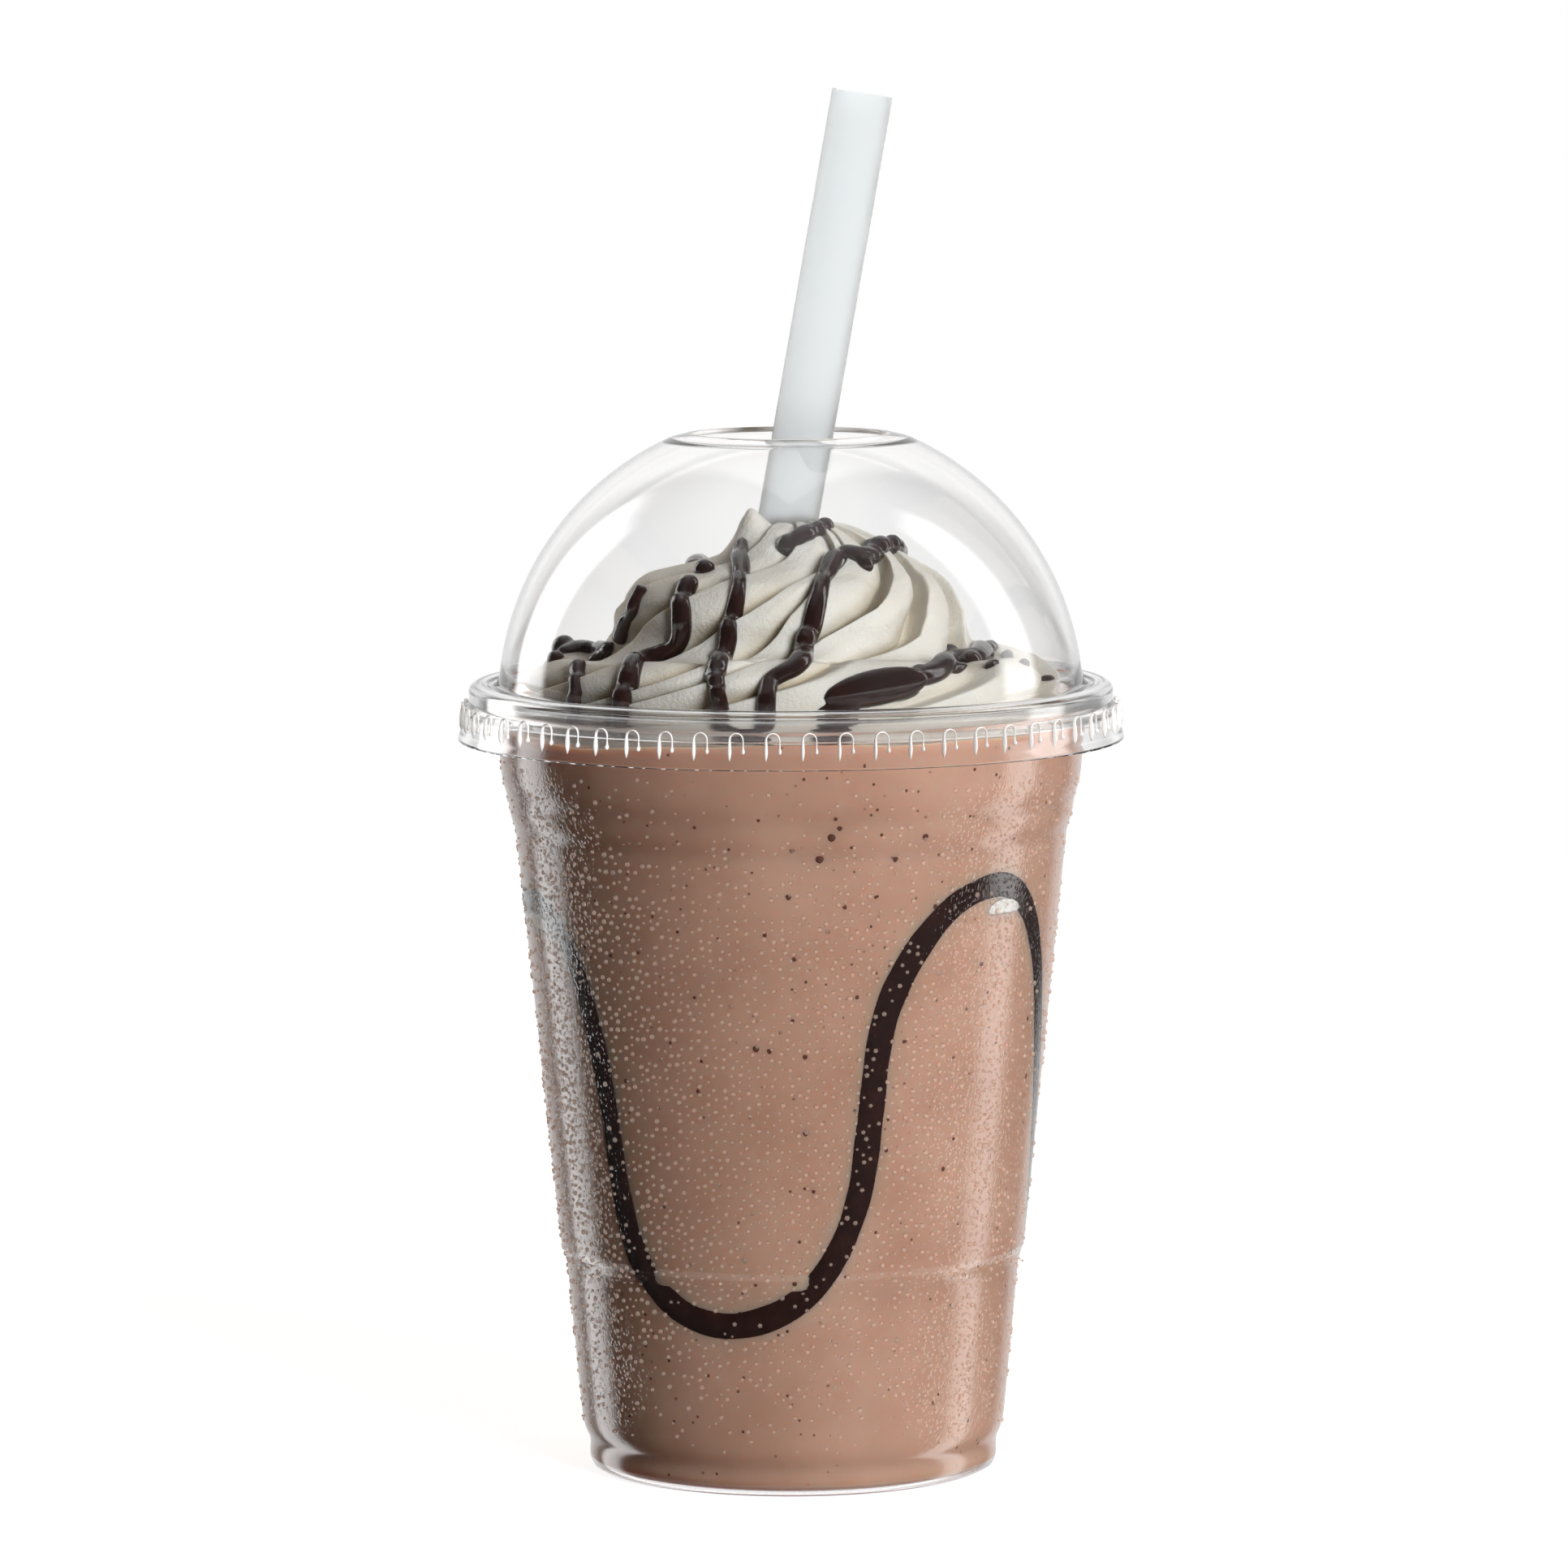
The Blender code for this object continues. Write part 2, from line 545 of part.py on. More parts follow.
def main():
    """Build every node."""
    clear_scene()
    clear = make_material("clear_plastic", (0.95, 0.96, 0.96), 0.05, 0.25)
    make_cup(clear)
    make_lid(clear)
    straw_solid("straw", 0.0, make_material("straw_plastic", (0.80, 0.83, 0.86), 0.35))
    make_milkshake(make_material("milkshake", (0.42, 0.235, 0.165), 0.45))
    make_ribbon(make_material("chocolate_sauce", (0.012, 0.005, 0.004), 0.15))
    make_cream(make_material("cream", (0.80, 0.78, 0.70), 0.45))


main()
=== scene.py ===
"""Looks of the chocolate milkshake: clear cup, domed lid, straw, shake, cream and sauce.

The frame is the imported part's own: metres, the cup's base on z = 0, the front facing -Y. The sizes
below are in mm and every mesh is scaled to metres when it is made. Angles round the axis count from
the front towards +X. What a finish holds is in metres.
"""

import logging
import math
from dataclasses import dataclass
from enum import Enum
from typing import Callable, Sequence

import bmesh
import bpy
import numpy as np
from bpy.types import Material, Mesh, Node, NodeSocket, NodeTree, Object
from mathutils import Euler, Matrix, Vector
from mathutils.bvhtree import BVHTree
from mathutils.noise import noise


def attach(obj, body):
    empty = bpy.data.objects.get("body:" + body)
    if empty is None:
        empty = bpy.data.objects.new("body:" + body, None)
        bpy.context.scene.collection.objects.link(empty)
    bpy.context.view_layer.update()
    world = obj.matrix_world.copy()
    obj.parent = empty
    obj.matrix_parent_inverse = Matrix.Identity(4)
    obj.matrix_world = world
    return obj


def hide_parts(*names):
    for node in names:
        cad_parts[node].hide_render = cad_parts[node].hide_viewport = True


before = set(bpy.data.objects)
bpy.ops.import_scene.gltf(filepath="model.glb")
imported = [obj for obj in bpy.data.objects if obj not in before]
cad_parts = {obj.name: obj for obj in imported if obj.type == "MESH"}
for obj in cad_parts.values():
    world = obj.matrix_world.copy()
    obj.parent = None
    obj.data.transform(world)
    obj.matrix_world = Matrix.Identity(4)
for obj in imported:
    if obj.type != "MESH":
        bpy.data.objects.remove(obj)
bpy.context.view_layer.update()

MM = 0.001
TINY = 1e-9
BODY = "root"
LOG = logging.getLogger("milkshake")

Pair = tuple[float, float]
Place = tuple[float, float, float]
Wave = tuple[float, float, float]
Colour = tuple[float, float, float]
Numbers = np.ndarray | float
WHITE: Colour = (1.0, 1.0, 1.0)


class Slot(Enum):
    """Material slots of the record."""

    CLEAR = "clear_plastic"
    STRAW = "straw_plastic"
    SHAKE = "milkshake"
    CREAM = "cream"
    SAUCE = "chocolate_sauce"


class Side(Enum):
    """Side that a point on the cream is looked at from."""

    FRONT = 1.0
    BACK = -1.0


# Meshes


def link(name: str, mesh: Mesh) -> Object:
    """Put a mesh into the scene with smooth faces.

    Args:
        name: Name of the piece.
        mesh: Mesh in metres.

    Returns:
        The new object at the origin.
    """
    mesh.name = name
    mesh.shade_smooth()
    item = bpy.data.objects.new(name, mesh)
    bpy.context.scene.collection.objects.link(item)
    return item


def make_object(name: str, mesh: Mesh, material: Material | None = None) -> Object:
    """Put a mesh into the scene with one material.

    Args:
        name: Name of the piece.
        mesh: Mesh in metres.
        material: Finish, or None for a helper.

    Returns:
        The new object at the origin.
    """
    mesh.materials.clear()
    if material is not None:
        mesh.materials.append(material)
    return link(name, mesh)


def turns(count: int) -> np.ndarray:
    """Angles of a full turn in equal steps, in radians."""
    return np.arange(count) * math.tau / count


def round_axis(radius: Numbers, angle: Numbers, height: Numbers) -> np.ndarray:
    """Points round the cup's axis by radius, angle in radians and height."""
    return np.stack(np.broadcast_arrays(radius * np.sin(angle), -radius * np.cos(angle), height), axis=-1)


def turned(profile: Sequence[Pair], sides: int) -> np.ndarray:
    """Turn a profile of radius and height round the axis, into rows of points."""
    radius, height = np.asarray(profile, float).T
    return round_axis(radius[:, None], turns(sides), height[:, None])


def mesh_from_grid(rows: np.ndarray, closed: bool = False, caps: bool = True) -> Mesh:
    """Join rows of points round an axis into a mesh.

    Args:
        rows: Points in mm, shaped (rows, sides, 3). A row whose points are one point becomes a pole.
        closed: True if the last row joins the first.
        caps: True to close open ends with a fan to the end row's middle.

    Returns:
        The mesh in metres, faces out.
    """
    bm = bmesh.new()
    made = []
    for row in rows:
        pole = np.ptp(row, axis=0).max() < TINY
        made.append([bm.verts.new(Vector(point) * MM) for point in (row[:1] if pole else row)])
    pairs = list(zip(made, made[1:])) + ([(made[-1], made[0])] if closed else [])
    for low, high in pairs:
        count = max(len(low), len(high))
        for i in range(count):
            j = (i + 1) % count
            corners = [low[i % len(low)], low[j % len(low)], high[j % len(high)], high[i % len(high)]]
            bm.faces.new(list(dict.fromkeys(corners)))
    if caps and not closed:
        for ring in (made[0], made[-1]):
            if len(ring) > 1:
                middle = bm.verts.new(sum((vert.co for vert in ring), Vector()) / len(ring))
                for i, vert in enumerate(ring):
                    bm.faces.new((vert, ring[(i + 1) % len(ring)], middle))
    bmesh.ops.recalc_face_normals(bm, faces=bm.faces)
    mesh = bpy.data.meshes.new("grid")
    bm.to_mesh(mesh)
    bm.free()
    return mesh


def softened(points: Sequence[Pair], reach: float, steps: int = 3, closed: bool = False) -> list[Pair]:
    """Round the corners of a profile.

    Args:
        points: Corners in mm.
        reach: How far from a corner its curve starts, at most.
        steps: Points on each curve, less one.
        closed: True if the profile is a loop.

    Returns:
        The profile with a short curve for each corner.
    """
    most = 0.45
    pts = [np.asarray(p, float) for p in points]
    count = len(pts)
    out: list[Pair] = []
    for i, corner in enumerate(pts):
        if not closed and i in (0, count - 1):
            out.append(tuple(corner))
            continue
        back, on = pts[i - 1] - corner, pts[(i + 1) % count] - corner
        start, end = (corner + way * min(reach / max(np.linalg.norm(way), TINY), most) for way in (back, on))
        for t in np.arange(steps + 1) / steps:
            out.append(tuple((1 - t) ** 2 * start + 2 * t * (1 - t) * corner + t * t * end))
    return out


def through(points: Sequence[Sequence[float]], steps: int, closed: bool = False) -> np.ndarray:
    """Evenly spaced points on a smooth curve through the given ones.

    Args:
        points: Points to pass through.
        steps: Points to return.
        closed: True if the curve is a loop.

    Returns:
        Points shaped (steps, dimensions).
    """
    parts = 16
    pts = np.asarray(points, float)
    if closed:
        here = pts
        before, after, later = (np.roll(pts, shift, axis=0) for shift in (1, -1, -2))
    else:
        padded = np.vstack([2 * pts[0] - pts[1], pts, 2 * pts[-1] - pts[-2]])
        before, here, after, later = padded[:-3], padded[1:-2], padded[2:-1], padded[3:]
    fine = []
    for t in np.linspace(0, 1, parts, endpoint=False):
        square = (2 * before - 5 * here + 4 * after - later) * t**2
        cube = (3 * here - before - 3 * after + later) * t**3
        fine.append(0.5 * (2 * here + (after - before) * t + square + cube))
    curve = np.stack(fine, axis=1).reshape(-1, pts.shape[1])
    curve = np.vstack([curve, curve[:1] if closed else pts[-1:]])
    run = np.concatenate([[0], np.cumsum(np.linalg.norm(np.diff(curve, axis=0), axis=1))])
    wanted = np.linspace(0, run[-1], steps, endpoint=not closed)
    return np.stack([np.interp(wanted, run, curve[:, k]) for k in range(pts.shape[1])], axis=1)


def swept(points: np.ndarray, sides: np.ndarray, rises: np.ndarray, section: np.ndarray) -> np.ndarray:
    """Carry a section along a path.

    Args:
        points: Path, shaped (steps, 3), in mm.
        sides: First direction across the path at each point.
        rises: Second direction across the path at each point.
        section: Section at each point, shaped (steps, corners, 2), in mm.

    Returns:
        Points shaped (steps, corners, 3).
    """
    return points[:, None] + section[:, :, :1] * sides[:, None] + section[:, :, 1:] * rises[:, None]


def rippled(angle: np.ndarray, waves: Sequence[Wave]) -> np.ndarray:
    """Sum of waves, each with its size, its count in a full turn and its start in radians."""
    return sum(size * np.sin(angle * count + start) for size, count, start in waves)


def unit(rows: np.ndarray) -> np.ndarray:
    """Rows scaled to length one."""
    return rows / np.maximum(np.linalg.norm(rows, axis=1, keepdims=True), 1e-12)


def calmed(normals: np.ndarray, rounds: int) -> np.ndarray:
    """Even out directions along a path, with its ends kept.

    Args:
        normals: Directions, shaped (steps, 3).
        rounds: How often each is mixed with its neighbours.

    Returns:
        The directions, evened out.
    """
    for _ in range(rounds):
        normals[1:-1] = unit(normals[:-2] + normals[1:-1] + normals[2:])
    return normals


def joined(meshes: Sequence[Mesh], whole: Mesh | None = None) -> Mesh:
    """Join meshes into one, with all faces in its first material, and remove them.

    Args:
        meshes: Meshes to join.
        whole: Mesh that they are added to, or None for a new one.

    Returns:
        The whole mesh.
    """
    whole = whole or bpy.data.meshes.new("joined")
    bm = bmesh.new()
    bm.from_mesh(whole)
    for mesh in meshes:
        bm.from_mesh(mesh)
        bpy.data.meshes.remove(mesh)
    for face in bm.faces:
        face.material_index = 0
    bm.to_mesh(whole)
    bm.free()
    return whole


def evaluated(item: Object) -> Mesh:
    """Plain mesh of an object with its modifiers worked in."""
    graph = bpy.context.evaluated_depsgraph_get()
    return bpy.data.meshes.new_from_object(item.evaluated_get(graph))


def apply_modifiers(item: Object) -> None:
    """Turn an object's modifiers into its plain mesh.

    Args:
        item: Object that loses its modifiers.
    """
    mesh = evaluated(item)
    item.modifiers.clear()
    mesh.name = item.name
    item.data = mesh


def subtract(item: Object, cutter: Object) -> None:
    """Cut one object out of another and remove the cutter.

    Args:
        item: Object that is cut.
        cutter: Closed solid that takes its room.
    """
    modifier = item.modifiers.new("cut", "BOOLEAN")
    modifier.operation = "DIFFERENCE"
    modifier.solver = "MANIFOLD"
    modifier.object = cutter
    apply_modifiers(item)
    bpy.data.objects.remove(cutter, do_unlink=True)


def finish_piece(item: Object, slot: Slot, node: str | None = None) -> None:
    """Put a piece on the part's body.

    Args:
        item: The piece.
        slot: Material slot meant for it; not used.
        node: CAD node that it stands for, if any.
    """
    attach(item, BODY)
    if node:
        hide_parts(node)
    LOG.info("%s: %d faces", item.name, len(item.data.polygons))


# Finishes


class Tree:
    """Short way to write the nodes of one tree."""

    def __init__(self, tree: NodeTree) -> None:
        """Take a tree and empty it."""
        self.tree = tree
        self.tree.nodes.clear()

    def node(self, kind: str, inputs: dict | None = None, **settings: object) -> Node:
        """Add a node.

        Args:
            kind: Type of the node.
            inputs: Values or sockets by input name or index.
            settings: Attributes of the node.

        Returns:
            The new node.
        """
        made = self.tree.nodes.new(kind)
        for key, value in settings.items():
            setattr(made, key, value)
        for key, value in (inputs or {}).items():
            if isinstance(value, NodeSocket):
                self.tree.links.new(value, made.inputs[key])
            else:
                made.inputs[key].default_value = value
        return made

    def maths(self, operation: str, *values: object) -> NodeSocket:
        """Work out one number from up to three."""
        return self.node("ShaderNodeMath", dict(enumerate(values)), operation=operation).outputs[0]

    def times(self, first: object, second: object) -> NodeSocket:
        """Multiply two numbers."""
        return self.maths("MULTIPLY", first, second)

    def axes(self, place: NodeSocket) -> Sequence[NodeSocket]:
        """The three parts of a vector."""
        return self.node("ShaderNodeSeparateXYZ", {0: place}).outputs[:3]

    def ranged(self, value: NodeSocket, low: float, high: float, to_low: float = 0.0, to_high: float = 1.0,
               kind: str = "LINEAR") -> NodeSocket:
        """Map one range of a value to another, held at its ends.

        Args:
            value: Value to map.
            low: Where its range starts.
            high: Where its range ends.
            to_low: What the start becomes.
            to_high: What the end becomes.
            kind: Blender's name for the way from one end to the other.

        Returns:
            The mapped value.
        """
        ends = {"Value": value, "From Min": low, "From Max": high, "To Min": to_low, "To Max": to_high}
        return self.node("ShaderNodeMapRange", ends, interpolation_type=kind).outputs["Result"]

    def smooth(self, value: NodeSocket, *ends: float) -> NodeSocket:
        """Map one range of a value to another with soft ends."""
        return self.ranged(value, *ends, kind="SMOOTHSTEP")

    def pick(self, share: NodeSocket, first: object, second: object) -> NodeSocket:
        """Mix two numbers."""
        return self.node("ShaderNodeMix", {0: share, 2: first, 3: second}).outputs[0]

    def blend(self, share: NodeSocket, first: object, second: object) -> NodeSocket:
        """Mix two colours, given as sockets or as red, green and blue."""
        low, high = (end if isinstance(end, NodeSocket) else (*end, 1.0) for end in (first, second))
        return self.node("ShaderNodeMix", {0: share, 6: low, 7: high}, data_type="RGBA").outputs[2]


class Shader(Tree):
    """Nodes of one material. Scales count features in a metre."""

    def __init__(self, name: str) -> None:
        """Start a material with an empty tree.

        Args:
            name: Name of the material.
        """
        self.material = bpy.data.materials.new(name)
        self.material.use_nodes = True
        super().__init__(self.material.node_tree)
        self.output = self.node("ShaderNodeOutputMaterial")

    def place(self) -> NodeSocket:
        """Object coordinates, in metres."""
        return self.node("ShaderNodeTexCoord").outputs["Object"]

    def blotches(self, scale: float, detail: float = 3.0, roughness: float = 0.5) -> NodeSocket:
        """Noise from 0 to 1."""
        return self.node("ShaderNodeTexNoise", {"Vector": self.place(), "Scale": scale, "Detail": detail,
                                                "Roughness": roughness}).outputs["Fac"]

    def cells(self, scale: float) -> NodeSocket:
        """Distance from the nearest of many scattered points."""
        return self.node("ShaderNodeTexVoronoi", {"Vector": self.place(), "Scale": scale}).outputs["Distance"]

    def clouds(self, first: Colour, second: Colour, low: float, high: float, *grain: float) -> NodeSocket:
        """Go from one colour to another where the noise lies between two levels."""
        return self.blend(self.ranged(self.blotches(*grain), low, high), first, second)

    def relief(self, height: NodeSocket, depth: float, strength: float = 1.0) -> NodeSocket:
        """Normal of a bump that is depth metres high."""
        sizes = {"Height": height, "Distance": depth, "Strength": strength}
        return self.node("ShaderNodeBump", sizes).outputs[0]

    def principled(self, inputs: dict) -> NodeSocket:
        """Blender's main surface with some of its inputs set."""
        return self.node("ShaderNodeBsdfPrincipled", inputs).outputs[0]

    def finish(self, surface: NodeSocket) -> Material:
        """Connect the surface and return the material."""
        self.tree.links.new(surface, self.output.inputs["Surface"])
        return self.material

    def finish_clear(self, glass: NodeSocket) -> Material:
        """Let lamplight and scattered light pass straight through a clear surface.

        Args:
            glass: Surface that all other light meets.

        Returns:
            The material.
        """
        path = self.node("ShaderNodeLightPath")
        either = self.maths("MAXIMUM", path.outputs["Is Shadow Ray"], path.outputs["Is Diffuse Ray"])
        passing = self.node("ShaderNodeBsdfTransparent").outputs[0]
        return self.finish(self.node("ShaderNodeMixShader", {0: either, 1: glass, 2: passing}).outputs[0])


@dataclass(frozen=True)
class ClearFinish:
    """Clear plastic or water. Dew is the height of fine drops that fade in over foot and out over head."""

    name: str
    ior: float
    roughness: float
    # below one, the rest of the surface is matt in the tint: painted light for the lid's edge glints and for
    # the light the dew focuses
    clearness: float = 1.0
    tint_and_painted_light: Colour = WHITE
    dew: float = 0.0
    beads: float = 1500.0
    foot: Pair = (0.004, 0.012)
    head: Pair = (0.106, 0.115)

    def relief(self, shader: Shader) -> NodeSocket:
        """Normal of the dew.

        Args:
            shader: Nodes of the material.

        Returns:
            The normal.
        """
        bead = shader.smooth(shader.cells(self.beads), 0.15, 0.5, 1.0, 0.0)
        up = shader.axes(shader.place())[2]
        band = shader.times(shader.smooth(up, *self.foot), shader.smooth(up, *self.head, 1.0, 0.0))
        patchy = shader.times(band, shader.ranged(shader.blotches(40.0), 0.3, 0.6, 0.35, 1.0))
        return shader.relief(shader.times(bead, patchy), self.dew)

    def build(self) -> Material:
        """Make the material.

        Returns:
            The material.
        """
        shader = Shader(self.name)
        inputs = {"Base Color": (*self.tint_and_painted_light, 1.0), "Roughness": self.roughness, "IOR": self.ior,
                  "Transmission Weight": self.clearness}
        if self.dew:
            inputs["Normal"] = self.relief(shader)
        return shader.finish_clear(shader.principled(inputs))


@dataclass(frozen=True)
class StrawFinish:
    """White plastic with a faint cool tone and a fine grain."""

    colour: Colour = (0.965, 0.991, 1.0)
    shade: Colour = (0.958, 0.986, 0.998)
    roughness: float = 0.5
    passing: float = 0.91
    ior: float = 1.22

    def build(self) -> Material:
        """Make the material.

        Returns:
            The material.
        """
        shader = Shader("straw_plastic")
        return shader.finish(shader.principled({
            "Base Color": shader.clouds(self.shade, self.colour, 0.35, 0.65, 120.0),
            "Roughness": self.roughness, "Transmission Weight": self.passing, "IOR": self.ior,
            "Normal": shader.relief(shader.blotches(2600.0, 2.0), 0.00002, 0.3)}))


@dataclass(frozen=True)
class ShakeFinish:
    """Milkshake with soft clouds of colour and fine grains of chocolate."""

    pale: Colour = (0.475, 0.302, 0.228)
    deep: Colour = (0.405, 0.240, 0.174)
    grain: Colour = (0.10, 0.045, 0.03)
    grains: float = 520.0
    glow: Colour = (1.0, 0.34, 0.2)
    glow_depth: float = 0.009

    def build(self) -> Material:
        """Make the material.

        Returns:
            The material.
        """
        shader = Shader("milkshake")
        body = shader.clouds(self.deep, self.pale, 0.35, 0.65, 45.0, 4.0, 0.6)
        round_grain = shader.ranged(shader.cells(self.grains), 0.10, 0.17, 1.0, 0.0)
        sparse = shader.ranged(shader.blotches(300.0, 1.0), 0.52, 0.60)
        return shader.finish(shader.principled({
            "Base Color": shader.blend(shader.times(round_grain, sparse), body, self.grain),
            "Roughness": 0.6, "Specular IOR Level": 0.05, "Subsurface Weight": 1.0,
            "Subsurface Radius": self.glow, "Subsurface Scale": self.glow_depth,
            "Normal": shader.relief(shader.blotches(900.0), 0.0001, 0.35)}))


@dataclass(frozen=True)
class CreamFinish:
    """Whipped cream, faintly porous, with painted shade: olive painted shade in its grooves, less of it to
    the right where the key light falls, and a painted shadow at its foot under the lid's rim.
    """

    name: str = "whipped_cream"
    colour: Colour = (0.665, 0.66, 0.62)
    cloud: Colour = (0.62, 0.61, 0.56)
    # painted shade: olive colour painted into the grooves in place of the shade that falls there
    hollow: Colour = (0.43, 0.335, 0.19)
    # painted shadow: colour painted at the cream's foot in place of the shadow under the lid's rim
    foot: Colour = (0.27, 0.23, 0.18)
    glow: Colour = (1.0, 0.75, 0.45)
    glow_depth: float = 0.0025

    def build(self) -> Material:
        """Make the material.

        Returns:
            The material.
        """
        shader = Shader(self.name)
        east, _, up = shader.axes(shader.place())
        colour = shader.clouds(self.cloud, self.colour, 0.3, 0.7, 150.0)
        # how deep each point lies in a groove, the mask of the painted groove shade
        depth = shader.node("ShaderNodeAttribute", attribute_name="hollow").outputs["Fac"]
        # painted groove shade, weaker to the right where the key light falls on the folds
        groove = shader.times(shader.smooth(depth, 0.05, 1.0), shader.smooth(east, -0.012, 0.022, 1.0, 0.45))
        colour = shader.blend(groove, colour, self.hollow)
        # painted shadow of the lid's rim: below this height the colour goes towards the foot colour
        colour = shader.blend(shader.smooth(up, 0.1165, 0.1225, 0.45, 0.0), colour, self.foot)
        pores = shader.ranged(shader.blotches(1900.0, 4.0, 0.65), 0.3, 0.75)
        return shader.finish(shader.principled({
            "Base Color": colour, "Roughness": 0.46, "Subsurface Weight": 0.3,
            "Subsurface Radius": self.glow, "Subsurface Scale": self.glow_depth,
            "Normal": shader.relief(pores, 0.0002, 0.55)}))


@dataclass(frozen=True)
class SauceFinish:
    """Dark chocolate sauce; it shines in the open and is dull where it lies against the cup."""

    name: str
    roughness: float = 0.45
    coat: float = 0.8
    colour: Colour = (0.013, 0.0045, 0.0036)
    thin: Colour = (0.024, 0.008, 0.006)

    def build(self) -> Material:
        """Make the material.

        Returns:
            The material.
        """
        shader = Shader(self.name)
        return shader.finish(shader.principled({
            "Base Color": shader.clouds(self.colour, self.thin, 0.45, 0.75, 260.0, 2.0),
            "Roughness": self.roughness, "Specular IOR Level": 0.1,
            "Coat Weight": self.coat, "Coat Roughness": 0.02, "Coat IOR": 1.55,
            "Normal": shader.relief(shader.blotches(420.0, 2.0), 0.0002, 0.25)}))


@dataclass(frozen=True)
class FlakeFinish:
    """Flake of dark chocolate with paler clouds."""

    colour: Colour = (0.045, 0.018, 0.012)
    lift: float = 2.2

    def build(self) -> Material:
        """Make the material.

        Returns:
            The material.
        """
        shader = Shader("chocolate_flake")
        pale = tuple(self.lift * part for part in self.colour)
        colour = shader.blend(shader.blotches(700.0), self.colour, pale)
        return shader.finish(shader.principled({"Base Color": colour, "Roughness": 0.5}))


# Geometry nodes


class NodeRecipe(Tree):
    """A Geometry Nodes tree with named inputs."""

    def __init__(self, name: str) -> None:
        """Start a tree that takes and gives geometry.

        Args:
            name: Name of the tree.
        """
        super().__init__(bpy.data.node_groups.new(name, "GeometryNodeTree"))
        for way in ("OUTPUT", "INPUT"):
            self.tree.interface.new_socket("Geometry", in_out=way, socket_type="NodeSocketGeometry")
        self.start = self.tree.nodes.new("NodeGroupInput")
        self.end = self.tree.nodes.new("NodeGroupOutput")
        self.values: dict[str, object] = {}

    def size(self, name: str, kind: str, value: object) -> NodeSocket:
        """Add a named input.

        Args:
            name: Name of the input.
            kind: Float, Int, Object or Material.
            value: What the modifier sets it to.

        Returns:
            The socket inside the tree.
        """
        socket = self.tree.interface.new_socket(name, in_out="INPUT", socket_type=f"NodeSocket{kind}")
        self.values[socket.identifier] = value
        return self.start.outputs[name]

    def close(self, geometry: NodeSocket, material: NodeSocket) -> None:
        """End the tree in real geometry with its material.

        Args:
            geometry: What the tree has made.
            material: Its finish.
        """
        real = self.node("GeometryNodeRealizeInstances", {"Geometry": geometry}).outputs[0]
        dressed = self.node("GeometryNodeSetMaterial", {"Geometry": real, "Material": material}).outputs[0]
        self.tree.links.new(dressed, self.end.inputs["Geometry"])

    def run(self, name: str, base: Object) -> Object:
        """Run the tree on an object and keep the result as a plain mesh.

        Args:
            name: Name of the piece.
            base: Object that the modifier stands on; it is removed.

        Returns:
            The piece.
        """
        modifier = base.modifiers.new(self.tree.name, "NODES")
        modifier.node_group = self.tree
        for identifier, value in self.values.items():
            modifier[identifier] = value
        base.update_tag()
        mesh = evaluated(base)
        bpy.data.objects.remove(base, do_unlink=True)
        return link(name, mesh)


def scatter_recipe(name: str, pattern: Object, spacing: float, scales: Pair, seed: int,
                   material: Material) -> NodeRecipe:
    """Tree that scatters a small shape over a surface, denser where its weight is higher.

    Args:
        name: Name of the tree.
        pattern: Shape to scatter, flat side down on its own z = 0.
        spacing: Least distance between two, in metres.
        scales: Smallest and largest scale.
        seed: Seed of the random draws.
        material: Finish of the shapes.

    Returns:
        The recipe.
    """
    packing = 3.0
    recipe = NodeRecipe(name)
    spread = recipe.size("Spacing", "Float", spacing)
    shape = recipe.size("Shape", "Object", pattern)
    small = recipe.size("Least size", "Float", scales[0])
    large = recipe.size("Largest size", "Float", scales[1])
    draw = recipe.size("Seed", "Int", seed)
    finish = recipe.size("Finish", "Material", material)
    weight = recipe.node("GeometryNodeInputNamedAttribute", {"Name": "weight"}, data_type="FLOAT").outputs[0]
    points = recipe.node("GeometryNodeDistributePointsOnFaces", {
        "Mesh": recipe.start.outputs["Geometry"], "Distance Min": spread, "Density Max": packing / spacing**2,
        "Density Factor": weight, "Seed": draw}, distribute_method="POISSON")
    size = recipe.node("FunctionNodeRandomValue", {2: small, 3: large, "Seed": draw}, data_type="FLOAT")
    shapes = recipe.node("GeometryNodeObjectInfo", {"Object": shape})
    turn = recipe.node("FunctionNodeRandomValue", {2: 0.0, 3: math.tau, "Seed": draw}, data_type="FLOAT")
    spin = recipe.node("FunctionNodeAxisAngleToRotation", {"Axis": (0.0, 0.0, 1.0), "Angle": turn.outputs[1]})
    rotation = recipe.node("FunctionNodeRotateRotation", {
        "Rotation": points.outputs["Rotation"], "Rotate By": spin.outputs[0]}, rotation_space="LOCAL")
    placed = recipe.node("GeometryNodeInstanceOnPoints", {
        "Points": points.outputs["Points"], "Instance": shapes.outputs["Geometry"],
        "Rotation": rotation.outputs[0], "Scale": size.outputs[1]})
    recipe.close(placed.outputs[0], finish)
    return recipe


def weigh(item: Object, rule: Callable[[float, float], float]) -> None:
    """Store a weight on each vertex.

    Args:
        item: Surface to weigh.
        rule: Weight by angle in degrees and height in mm.
    """
    weights = item.data.attributes.new("weight", "FLOAT", "POINT")
    for vert, value in zip(item.data.vertices, weights.data):
        angle = math.degrees(math.atan2(vert.co.x, -vert.co.y))
        value.value = max(0.0, min(1.0, rule(angle, vert.co.z / MM)))


# The cup


